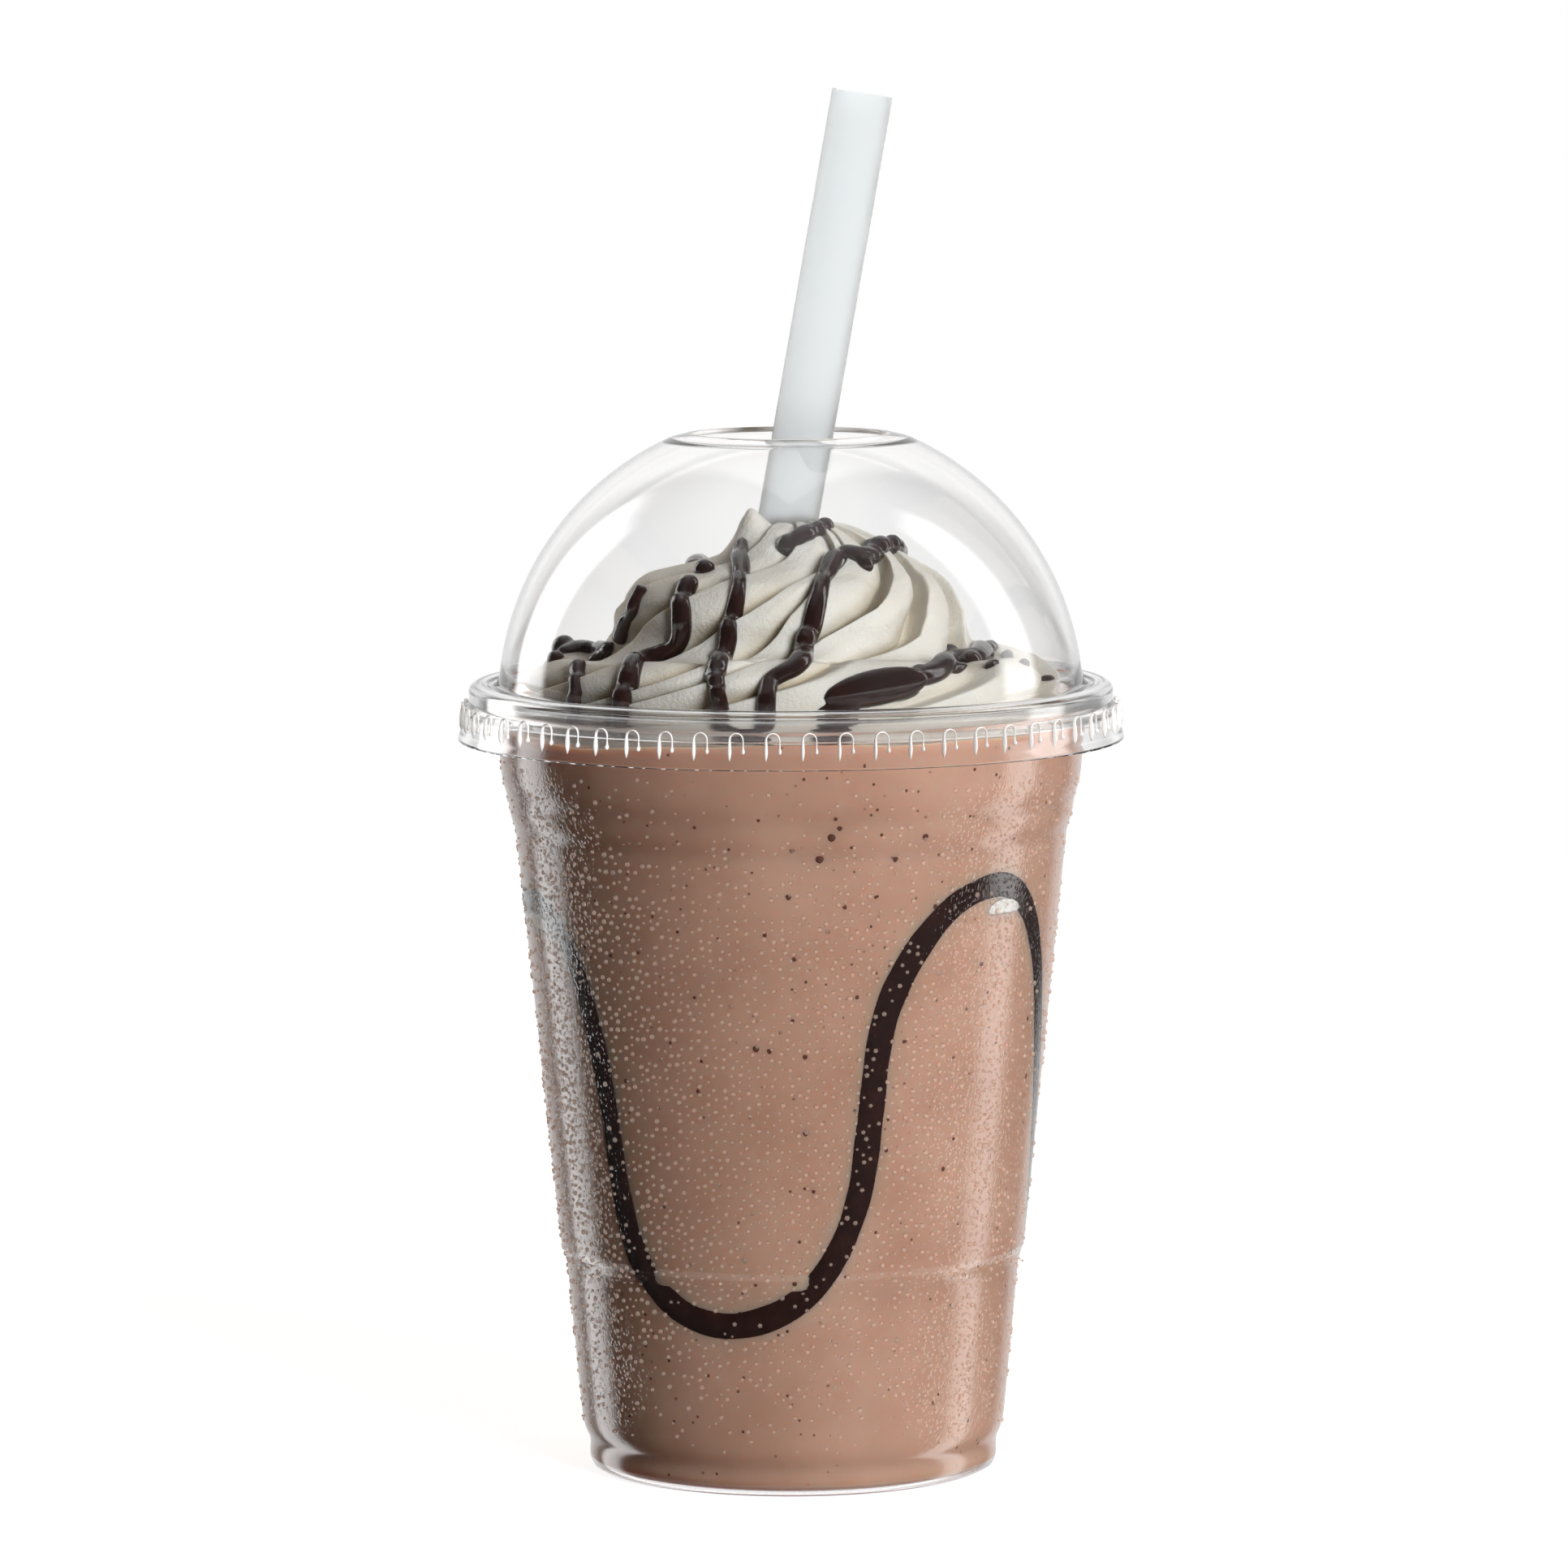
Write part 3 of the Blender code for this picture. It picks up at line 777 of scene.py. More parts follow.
@dataclass
class Cup:
    """Clear cup: stepped wall, raised base and rolled rim."""

    height: float = 120.6
    rim_radius: float = 48.8
    wall: float = 0.55
    roll: float = 1.7
    base_rise: float = 2.1
    arch: float = 26.6
    heel: float = 28.3
    foot: float = 29.8
    step_bend: float = 1.4
    base_bend: float = 0.6
    roll_end: float = -80.0
    sides: int = 168
    outside: tuple[Pair, ...] = (
        (31.1, 0.7), (31.6, 1.8), (31.4, 4.4), (32.3, 6.2), (32.7, 8.0), (34.97, 32.2),
        (35.35, 33.4), (35.84, 34.7), (42.37, 98.05), (42.45, 99.2), (43.35, 101.8), (43.62, 104.2),
        (44.5, 106.9), (44.77, 109.5), (45.3, 117.5),
    )

    def side_line(self) -> list[Pair]:
        """Outside of the wall with its steps rounded."""
        return softened(self.outside, self.step_bend, 4)

    def inside_radius(self, height: Numbers) -> np.ndarray:
        """Radius of the cup's inside at a height."""
        radii, heights = np.asarray(self.side_line()).T
        return np.interp(height, heights, radii) - self.wall

    def floor_line(self, lift: float = 0.0) -> list[Pair]:
        """Top of the base, from its middle out, at a lift above it."""
        high, low = self.base_rise + self.wall + lift, self.wall + lift
        return [(0.0, high), (self.arch + 0.3, high), (self.heel + 0.2, low), (self.foot - 0.2, low)]

    def profile(self) -> list[Pair]:
        """Whole section.

        Returns:
            Radius and height, from the middle of the base's underside to the middle of its top.
        """
        under = softened([(0.0, self.base_rise), (self.arch, self.base_rise), (self.heel, 0.0),
                          (self.foot, 0.0), self.outside[0]], self.base_bend)
        side = self.side_line()
        inner = [(radius - self.wall, height) for radius, height in side[1:]]
        floor = softened([inner[0], *self.floor_line()[::-1]], self.base_bend)
        middle_r = self.rim_radius - self.roll - self.wall / 2
        middle_z = self.height - self.roll - self.wall / 2
        rolls = []
        for reach in (self.roll - self.wall / 2, self.roll + self.wall / 2):
            rolls.append([(middle_r + reach * math.cos(angle), middle_z + reach * math.sin(angle))
                          for angle in np.radians(np.linspace(180.0, self.roll_end, 15))])
        return under[:-1] + side + rolls[0] + rolls[1][::-1] + inner[::-1] + floor[1:]

    def build(self, finish: ClearFinish) -> Object:
        """Make the cup."""
        return make_object("cup_shell", mesh_from_grid(turned(self.profile(), self.sides)), finish.build())

    def wall_patch(self, low: float, high: float, lift: float) -> Object:
        """Open band of the outside, for scattering.

        Args:
            low: Lowest height.
            high: Highest height.
            lift: How far it stands off the wall.

        Returns:
            A helper object.
        """
        levels, sides = 90, 192
        line = [(radius + lift, height) for radius, height in self.side_line() if low <= height <= high]
        return make_object("wall_patch", mesh_from_grid(turned(through(line, levels), sides), caps=False))


@dataclass
class DomeLid:
    """Domed lid: hole on top, ring over the rim and a ribbed skirt."""

    dome_radius: float = 45.1
    dome_centre: float = 118.4
    hole_radius: float = 14.8
    top_angle: float = 66.0
    wall: float = 0.45
    ribs: int = 58
    rib_radius: float = 50.55
    rib_height: float = 116.7
    rib_length: float = 4.2
    rib_width: float = 2.7
    rib_bead: float = 0.32
    rib_depth: float = 0.62
    edge_bead: float = 0.34
    sides: int = 174
    ring: tuple[Pair, ...] = (
        (45.35, 121.5), (46.1, 121.25), (47.0, 121.95), (48.6, 122.0), (49.6, 121.2), (49.6, 118.95),
        (50.35, 118.3), (50.55, 117.3), (50.8, 115.0), (51.15, 114.2), (51.35, 113.2),
    )
    hem: tuple[Pair, ...] = (
        (50.9, 113.2), (50.7, 114.0), (50.35, 115.0), (50.1, 117.4), (49.2, 118.75), (49.15, 120.9),
        (48.4, 121.5), (47.2, 121.45), (46.1, 120.8), (45.0, 120.95),
    )
    rib_left: tuple[float, ...] = (-1.0, -0.7, -0.4, -0.1, 0.2)
    rib_right: tuple[float, ...] = (0.2, -0.1, -0.25, -0.4, -0.5)
    rib_fullness: tuple[float, ...] = (
        0.25, 0.7, 0.95, 0.9, 0.75, 0.55, 0.45, 0.4, 0.36, 0.36,
        0.34, 0.32, 0.3, 0.28, 0.28, 0.4, 0.8, 0.8, 0.3,
    )

    def arc(self, radius: float, start: float, end: float) -> list[Pair]:
        """Part of the dome's section between two angles above level, in degrees."""
        angles = np.radians(np.linspace(start, end, 30))
        return [(radius * math.cos(a), self.dome_centre + radius * math.sin(a)) for a in angles]

    def profile(self) -> list[Pair]:
        """Closed section.

        Returns:
            Radius and height, from the hole's edge over the dome, down to the skirt's lip and back.
        """
        outer = self.arc(self.dome_radius, self.top_angle, 5.0)
        under = self.arc(self.dome_radius - self.wall, 3.9, self.top_angle)
        top = outer[0][1]
        lip = softened([(self.hole_radius, top - 0.1), (self.hole_radius, top + 0.45),
                        (self.hole_radius + 0.9, top + 0.6), outer[0], outer[1]], 0.5)
        body = softened([outer[-2], *self.ring, *self.hem, under[0], under[1]], 0.45)
        return lip[:-1] + outer[1:-2] + body + under[2:]

    def build(self, finish: ClearFinish) -> Object:
        """Make the lid's shell."""
        mesh = mesh_from_grid(turned(self.profile(), self.sides), closed=True)
        return make_object("lid_shell", mesh, finish.build())

    def build_hole_edge(self, finish: ClearFinish) -> Object:
        """Make the cut edge of the lid's hole, a fine bead that is paler than the rest by the painted light
        of its finish.

        Args:
            finish: Its finish.

        Returns:
            The piece.
        """
        radius = self.hole_radius + 0.2
        height = self.dome_centre + self.dome_radius * math.sin(math.radians(self.top_angle)) + 0.26
        bead = [(radius + self.edge_bead * math.cos(a), height + self.edge_bead * math.sin(a))
                for a in turns(8)]
        mesh = mesh_from_grid(turned(bead, self.sides), closed=True)
        return make_object("lid_hole_edge", mesh, finish.build())

    def rib(self) -> Object:
        """One rib: an arch open at its foot, fuller on its left and at the end of its right leg.

        Returns:
            A helper object.
        """
        bend = self.rib_width / 2 - self.rib_bead
        half = self.rib_length / 2
        line = [(-bend, share * half) for share in self.rib_left]
        line += [(-bend * math.cos(a), half - bend + bend * math.sin(a))
                 for a in np.linspace(0, math.pi, 9)]
        line += [(bend, share * half) for share in self.rib_right]
        path = np.array([(x, 0.0, z) for x, z in line])
        along = unit(np.gradient(path, axis=0))
        front = np.tile((0.0, -1.0, 0.0), (len(path), 1))
        section = np.stack([self.rib_bead * np.cos(turns(8)), self.rib_depth * np.sin(turns(8))], axis=1)
        sections = section[None] * np.array(self.rib_fullness)[:, None, None]
        return make_object("rib", mesh_from_grid(swept(path, np.cross(along, front), front, sections)))

    def build_ribs(self, finish: ClearFinish) -> Object:
        """Make the ribs round the skirt with Geometry Nodes.

        Args:
            finish: Their finish.

        Returns:
            The piece.
        """
        recipe = NodeRecipe("skirt_ribs")
        count = recipe.size("Count", "Int", self.ribs)
        radius = recipe.size("Radius", "Float", self.rib_radius * MM)
        height = recipe.size("Height", "Float", self.rib_height * MM)
        material = recipe.size("Finish", "Material", finish.build())
        circle = recipe.node("GeometryNodeMeshCircle", {"Vertices": count, "Radius": radius})
        rise = recipe.node("ShaderNodeCombineXYZ", {2: height})
        raised = recipe.node("GeometryNodeSetPosition", {
            "Geometry": circle.outputs[0], "Offset": rise.outputs[0]})
        east, north, _ = recipe.axes(recipe.node("GeometryNodeInputPosition").outputs[0])
        turn = recipe.maths("ARCTAN2", east, recipe.times(north, -1.0))
        euler = recipe.node("ShaderNodeCombineXYZ", {2: turn})
        rotation = recipe.node("FunctionNodeEulerToRotation", {0: euler.outputs[0]})
        placed = recipe.node("GeometryNodeInstanceOnPoints", {
            "Points": raised.outputs[0], "Instance": recipe.start.outputs["Geometry"],
            "Rotation": rotation.outputs[0]})
        recipe.close(placed.outputs[0], material)
        return recipe.run("lid_ribs", self.rib())


@dataclass
class Straw:
    """Straight white straw."""

    radius: float = 4.65
    wall: float = 0.45
    top: Place = (11.24, 0.0, 212.2)
    foot: Place = (-25.5, 0.0, 5.1)
    sides: int = 64

    def rows(self, section: Sequence[Pair]) -> np.ndarray:
        """Turn a section round the straw's axis.

        Args:
            section: Distance from the foot and radius.

        Returns:
            Points shaped (len(section), sides, 3).
        """
        axis = unit(np.array([self.top]) - np.array([self.foot]))[0]
        side = np.array([0.0, 1.0, 0.0])
        angle = turns(self.sides)[:, None]
        circle = np.cos(angle) * side + np.sin(angle) * np.cross(side, axis)
        return np.array([np.array(self.foot) + axis * along + circle * radius for along, radius in section])

    def build(self, finish: StrawFinish) -> Object:
        """Make the straw.

        Args:
            finish: Its finish.

        Returns:
            The piece.
        """
        length = math.dist(self.top, self.foot)
        bore = self.radius - self.wall
        corners = [(0.0, bore), (0.0, self.radius), (length, self.radius), (length, bore)]
        ends = softened(corners, 0.12, 3, closed=True)
        return make_object("straw_tube", mesh_from_grid(self.rows(ends), closed=True), finish.build())

    def core(self, start: float, end: float) -> Object:
        """Solid that cuts the straw's room, from one distance along it to another."""
        radius = self.radius - 0.1
        return make_object("core", mesh_from_grid(self.rows([(start, radius), (end, radius)])))


# The contents


@dataclass
class Milkshake:
    """Milkshake up to its uneven level, with its flakes and smears.

    A large flake has an angle, a height and a scale; a smear has an angle, a height, half its angle
    and half its height.
    """

    cup: Cup
    level: float = 116.0
    sides: int = 240
    into_wall: float = 0.1
    waves: tuple[Wave, ...] = ((0.7, 2, 0.6), (0.45, 5, 2.0), (0.25, 11, 1.0))
    flake_spacing: float = 4.6
    large_flakes: tuple[tuple[float, float, float], ...] = (
        (5.7, 99.1, 1.15), (8.0, 102.4, 1.1), (9.6, 103.8, 0.7), (27.9, 102.0, 0.9), (-0.7, 93.3, 0.8),
        (0.1, 100.5, 0.65), (21.7, 98.7, 0.8), (-8.0, 70.0, 0.9), (-5.0, 69.6, 0.65), (3.0, 57.0, 0.75),
    )
    smears: tuple[tuple[float, float, float, float], ...] = ((51.5, 90.0, 5.4, 1.1), (-72.0, 86.4, 7.0, 1.2))

    def edge_height(self, angle: np.ndarray) -> np.ndarray:
        """Height of the milkshake at the wall by angle in radians."""
        return self.level + rippled(angle, self.waves)

    def build(self, finish: ShakeFinish, straw: Straw) -> Object:
        """Make the milkshake, cut round the straw.

        Args:
            finish: Its finish.
            straw: Straw that stands in it.

        Returns:
            The piece.
        """
        cup = self.cup
        spans = ((2.0, 10.0, 12), (12.0, 96.0, 22), (97.5, 112.0, 22))
        heights = np.concatenate([np.linspace(*span) for span in spans])
        wall = [(float(cup.inside_radius(h)) + self.into_wall, h) for h in heights]
        rows = turned(cup.floor_line(-0.05) + wall, self.sides)
        angle = turns(self.sides)
        edge = self.edge_height(angle)
        tops = []
        for share, sink in ((1.0, 0.0), (0.985, 0.15), (0.95, 0.0), (0.8, 0.0), (0.5, 0.0), (0.0, 0.0)):
            height = self.level + (edge - self.level) * share**2 - sink
            tops.append(round_axis((cup.inside_radius(edge) + self.into_wall) * share, angle, height))
        tops[-1][:] = (0.0, 0.0, self.level)
        mesh = mesh_from_grid(np.concatenate([rows, np.array(tops)]))
        item = make_object("milkshake_body", mesh, finish.build())
        subtract(item, straw.core(-0.4, 160.0))
        return item

    def flake_weight(self, angle: float, height: float) -> float:
        """How thickly the flakes lie, by angle in degrees and height."""
        patches = 0.55 * noise(Vector((angle / 25, height / 18, 3.0)))
        return 0.2 + patches + 0.3 * math.exp(-((height - 85) / 18) ** 2)

    def large_flake(self, flake: Mesh, angle: float, height: float, scale: float) -> Mesh:
        """One flake in the place where the photograph shows it.

        Args:
            flake: Shape of a flake.
            angle: Angle in degrees.
            height: Height of its middle.
            scale: Its scale.

        Returns:
            A copy that faces out from the wall.
        """
        turn = math.radians(angle)
        radius = float(self.cup.inside_radius(height)) + self.into_wall
        place = Matrix.Translation(Vector(round_axis(radius, turn, height)) * MM)
        facing = Vector(round_axis(1.0, turn, 0.0)).to_track_quat("Z", "Y").to_matrix().to_4x4()
        copy = flake.copy()
        copy.transform(place @ facing @ Matrix.Scale(scale, 4))
        return copy

    def build_flakes(self, finish: FlakeFinish) -> Object:
        """Scatter chocolate flakes at the milkshake's side with Geometry Nodes and add the large ones.

        Args:
            finish: Their finish.

        Returns:
            The piece.
        """
        rows = [[(r * math.cos(a) * (1 + 0.25 * math.sin(3 * a)), r * math.sin(a), h) for a in turns(8)]
                for r, h in ((0.55, -0.25), (0.62, -0.05), (0.45, 0.09))]
        flake = make_object("flake", mesh_from_grid(np.array(rows)))
        patch = self.cup.wall_patch(9.0, 114.0, self.into_wall - self.cup.wall)
        weigh(patch, self.flake_weight)
        material = finish.build()
        recipe = scatter_recipe("flakes", flake, self.flake_spacing * MM, (0.25, 0.7), 7, material)
        item = recipe.run("chocolate_flakes", patch)
        item.data.materials.clear()
        joined([self.large_flake(flake.data, *place) for place in self.large_flakes], item.data)
        item.data.materials.append(material)
        item.data.shade_smooth()
        bpy.data.objects.remove(flake, do_unlink=True)
        return item

    def smear(self, angle: float, height: float, half_angle: float, half_height: float) -> Mesh:
        """One thin smear of cream that lies against the wall and bends down at its ends.

        Args:
            angle: Angle of its middle in degrees.
            height: Height of its middle.
            half_angle: Half its width in degrees.
            half_height: Half its height.

        Returns:
            Its mesh.
        """
        share = np.linspace(-1.0, 1.0, 15)[:, None]
        step = turns(12)
        half = half_height * np.sqrt(np.maximum(1.0 - share**2, 0.0))
        level = height + half * np.cos(step) - 0.5 * half_height * share**2
        radius = self.cup.inside_radius(level) + 0.2 + 0.6 * np.minimum(np.sin(step), 0.0) * half
        return mesh_from_grid(round_axis(radius, np.radians(angle + half_angle * share), level))

    def build_smears(self, finish: CreamFinish) -> Object:
        """Make the smears under the wave's peaks."""
        mesh = joined([self.smear(*place) for place in self.smears])
        return make_object("cream_smears", mesh, finish.build())


@dataclass
class SauceWave:
    """Closed wave of sauce that runs round the inside of the wall.

    Its line has an angle in degrees and a height for each point.
    """

    cup: Cup
    width: float = 4.2
    depth: float = 1.7
    steps: int = 620
    waves: tuple[Wave, ...] = ((0.05, 7, 1.0), (0.04, 17, 0.0), (0.02, 61, 0.0))
    line: tuple[Pair, ...] = (
        (-80, 88.9), (-66, 88.6), (-58, 84.5), (-53, 78.0), (-49.5, 69.5), (-47, 58.5), (-45.5, 48.5),
        (-43, 39.8), (-37.5, 32.8), (-29, 28.5), (-18, 26.8), (-7, 28.0), (2.5, 31.4),
        (11, 38.4), (16, 47.5), (18, 58.7), (19.5, 70.0), (22.5, 78.0), (29, 85.8),
        (38, 91.6), (50.5, 93.4), (60.5, 89.0), (68, 80.8), (73, 71.6), (79, 58.4),
        (84, 45.0), (91, 34.5), (104, 28.5), (116, 28.0), (128, 32.5), (136, 42.0),
        (140, 55.0), (142, 67.0), (146, 78.0), (154, 87.0), (167, 91.5), (180, 88.0),
        (188, 78.0), (193, 66.0), (197, 53.0), (202, 41.0), (211, 32.0), (224, 28.0),
        (238, 30.5), (248, 38.0), (253, 49.0), (256, 61.0), (259, 73.0), (266, 84.0),
    )

    def section(self) -> np.ndarray:
        """Section of the wave: flat outside and just into the wall, rounded inside.

        Returns:
            Corners across the wave and inward from the wall.
        """
        half = self.width / 2
        outer = [(-half, 0.02), (-half * 0.9, -0.16), (0.0, -0.18), (half * 0.9, -0.16), (half, 0.02)]
        shoulder = self.depth * 0.6
        return np.array(outer + [(half * 0.8, shoulder), (0.0, self.depth), (-half * 0.8, shoulder)])

    def build(self, finish: SauceFinish) -> Object:
        """Make the wave, its outer face just into the wall.

        Args:
            finish: Its finish.

        Returns:
            The piece.
        """
        angle, height = np.asarray(self.line, float).T
        ring = round_axis(self.cup.inside_radius(height), np.radians(angle), height)
        path = through(ring, self.steps, closed=True)
        out = unit(path * np.array([1.0, 1.0, 0.0]))
        path[:, :2] = out[:, :2] * self.cup.inside_radius(path[:, 2])[:, None]
        along = unit(np.roll(path, -1, axis=0) - np.roll(path, 1, axis=0))
        inward = unit(np.array([0.0, 0.0, 0.1]) - out)
        uneven = 1.0 + rippled(turns(self.steps), self.waves)
        sections = self.section()[None] * np.stack([uneven, np.ones_like(uneven)], axis=1)[:, None]
        mesh = mesh_from_grid(swept(path, unit(np.cross(along, inward)), inward, sections), closed=True)
        return make_object("sauce_wave", mesh, finish.build())


@dataclass
class CreamSwirl:
    """Whipped cream: a broad lower turn and a folded mound on it.

    Each row of the side has a radius, a height, the depth of its grooves, its level in the table
    of folds and how far its middle lies to the right. A fold has one azimuth for each level.
    """

    peak: Pair = (-6.6, -3.2)
    peak_rise: float = 3.4
    peak_spread: float = 2.3
    peak_foot: float = 138.0
    fold_steps: int = 40
    row_count: int = 160
    twist: float = 62.0
    fold_width: float = 24.0
    crest_at: float = 0.22
    crest_width: float = 0.12
    lean: float = 1.5
    settle: float = 2.4
    # groove depth at which the cream's painted groove shade is full
    groove_shade_full_depth: float = 4.0
    side: tuple[tuple[float, float, float, float, float], ...] = (
        (40.6, 113.0, 0.0, -1.25, 0), (41.6, 116.35, 0.4, -1.0, 0), (42.2, 118.8, 1.4, -0.84, 0),
        (42.2, 122.4, 2.4, -0.54, 0), (40.6, 126.0, 3.0, -0.26, 0), (36.4, 128.4, 2.9, -0.10, 0),
        (31.0, 128.2, 2.8, 0.0, 0), (27.6, 130.2, 3.6, 0.8, 0), (26.8, 133.4, 4.1, 1.6, -0.2),
        (25.2, 136.2, 4.1, 2.3, -0.2), (22.6, 138.4, 3.5, 2.8, 0.2), (18.6, 139.9, 2.9, 3.2, 1.8),
        (14.8, 141.4, 2.6, 3.6, 3.4), (12.4, 143.1, 2.2, 4.0, 3.2), (10.0, 144.7, 1.6, 4.4, 2.2),
        (7.4, 146.0, 1.1, 4.8, 1.0), (4.0, 146.9, 0.4, 5.0, 0.3), (1.2, 147.2, 0.0, 5.0, 0),
    )
    fold_depths: tuple[float, ...] = (1.15, 1.25, 1.3, 1.2, 0.95, 0.8, 0.9, 0.95, 1.0, 1.0, 1.1)
    folds: tuple[tuple[float, ...], ...] = (
        (-74, -60, -45, -29, -13, 3), (-41, -27, -12, 3.5, 19, 34), (-12, -5, 2, 10, 26, 45),
        (-2, 8, 31, 46, 56, 66), (16, 46, 54, 66, 78, 92), (60, 78, 87, 98, 112, 126),
        (100, 112, 122, 133, 147, 160), (140, 152, 163, 175, 188, 200), (180, 192, 205, 218, 230, 243),
        (218, 230, 244, 258, 272, 286), (254, 267, 282, 298, 314, 328),
    )

    def crest_angles(self, level: float) -> np.ndarray:
        """Azimuth of each fold's crest at a level, in degrees.

        Args:
            level: Level in the table of folds; below it the folds go on at an even twist.

        Returns:
            The azimuths, with the first one again at the end.
        """
        table = np.asarray(self.folds, float)
        steps = np.arange(table.shape[1])
        angles = np.array([np.interp(level, steps, row) for row in table]) + min(level, 0.0) * self.twist
        return np.append(angles, angles[0] + 360.0)

    def crest(self, share: np.ndarray) -> np.ndarray:
        """Height of a fold: it rises at once on its left and falls slowly to the next.

        Args:
            share: How far across the fold, from 0 to 1.

        Returns:
            Height from 0 to 1.
        """
        rise = np.clip(share / self.crest_at, 0.0, 1.0)
        fall = np.clip((share - self.crest_at) / (1.0 - self.crest_at), 0.0, 1.0)
        left, right = rise**1.5 * (2.5 - 1.5 * rise), 1.0 - 0.3 * fall - 0.7 * fall**3
        return np.where(share < self.crest_at, left, right)

    def row(self, number: np.ndarray, share: np.ndarray, size: np.ndarray) -> tuple[np.ndarray, np.ndarray]:
        """One row of points round the cream.

        Args:
            number: Fold that each point is on.
            share: How far across its fold each point is.
            size: Radius, height, groove, level and middle, as the side has them.

        Returns:
            The points and how deep in a groove each is, from 0 to 1.
        """
        radius, height, groove, level, middle = size
        angles = self.crest_angles(level)
        width = np.diff(angles)[number]
        narrow = np.clip(width / self.fold_width, 0.6, 1.1)
        dent = groove * np.asarray(self.fold_depths)[number] * narrow * (1.0 - self.crest(share))
        steep = min(max(radius / 30.0, 0.25), 1.0)
        lean = self.lean * groove * narrow * np.exp(-(((share - self.crest_at) / self.crest_width) ** 2))
        angle = np.radians(angles[number] + width * share) - lean * 0.4 / max(radius, 6.0)
        sag = self.settle * np.interp(level, (-1.0, -0.5, 0.0, 1.2), (0.0, 1.0, 1.0, 0.0))
        up = height - dent * (1.0 - 0.6 * steep) - sag * np.sin(angle) ** 2
        points = round_axis(radius - dent * steep, angle, up) + np.array([middle, 0.0, 0.0])
        if height > self.peak_foot:
            away = ((points[:, :2] - self.peak) ** 2).sum(axis=1) / self.peak_spread**2
            points[:, 2] += self.peak_rise * np.exp(-away)
        return points, np.clip(dent / self.groove_shade_full_depth, 0.0, 1.0)

    def build(self, finish: CreamFinish, straw: Straw) -> Object:
        """Make the cream, cut round the straw.

        Args:
            finish: Its finish.
            straw: Straw that stands in it.

        Returns:
            The piece.
        """
        table = through(self.side, self.row_count)
        number = np.repeat(np.arange(len(self.folds)), self.fold_steps)
        share = np.tile(np.arange(self.fold_steps) / self.fold_steps, len(self.folds)) ** 1.25
        rows, groove_shade_masks = zip(*(self.row(number, share, size) for size in table))
        mesh = mesh_from_grid(self.roughen(np.array(rows), table[:, 0]))
        # how deep in a groove each point lies, kept as the mask of the cream's painted groove shade
        hollow = mesh.attributes.new("hollow", "FLOAT", "POINT")
        values = np.concatenate([*groove_shade_masks, np.zeros(2)])
        hollow.data.foreach_set("value", values.astype(np.float32))
        item = make_object("cream_swirl", mesh, finish.build())
        subtract(item, straw.core(100.0, 170.0))
        return item

    def roughen(self, points: np.ndarray, radius: np.ndarray) -> np.ndarray:
        """Add the soft lumps and small tears of whipped cream.

        Args:
            points: Points shaped (rows, sides, 3).
            radius: Radius of each row; the lumps are calmer near the top.

        Returns:
            The points, moved outward or inward.
        """
        out = points * np.array([1.0, 1.0, 0.4]) - np.array([0.0, 0.0, 50.0])
        out = unit(out.reshape(-1, 3)).reshape(points.shape)
        lumps = np.array([0.30 * noise(Vector(p) / 6.0) + 0.13 * noise(Vector(p) / 1.9 + Vector((9, 0, 0)))
                          for p in points.reshape(-1, 3)]).reshape(points.shape[:2])
        calm = np.clip(radius / 6.0, 0.0, 1.0)[:, None]
        return points + out * (lumps * calm)[:, :, None]


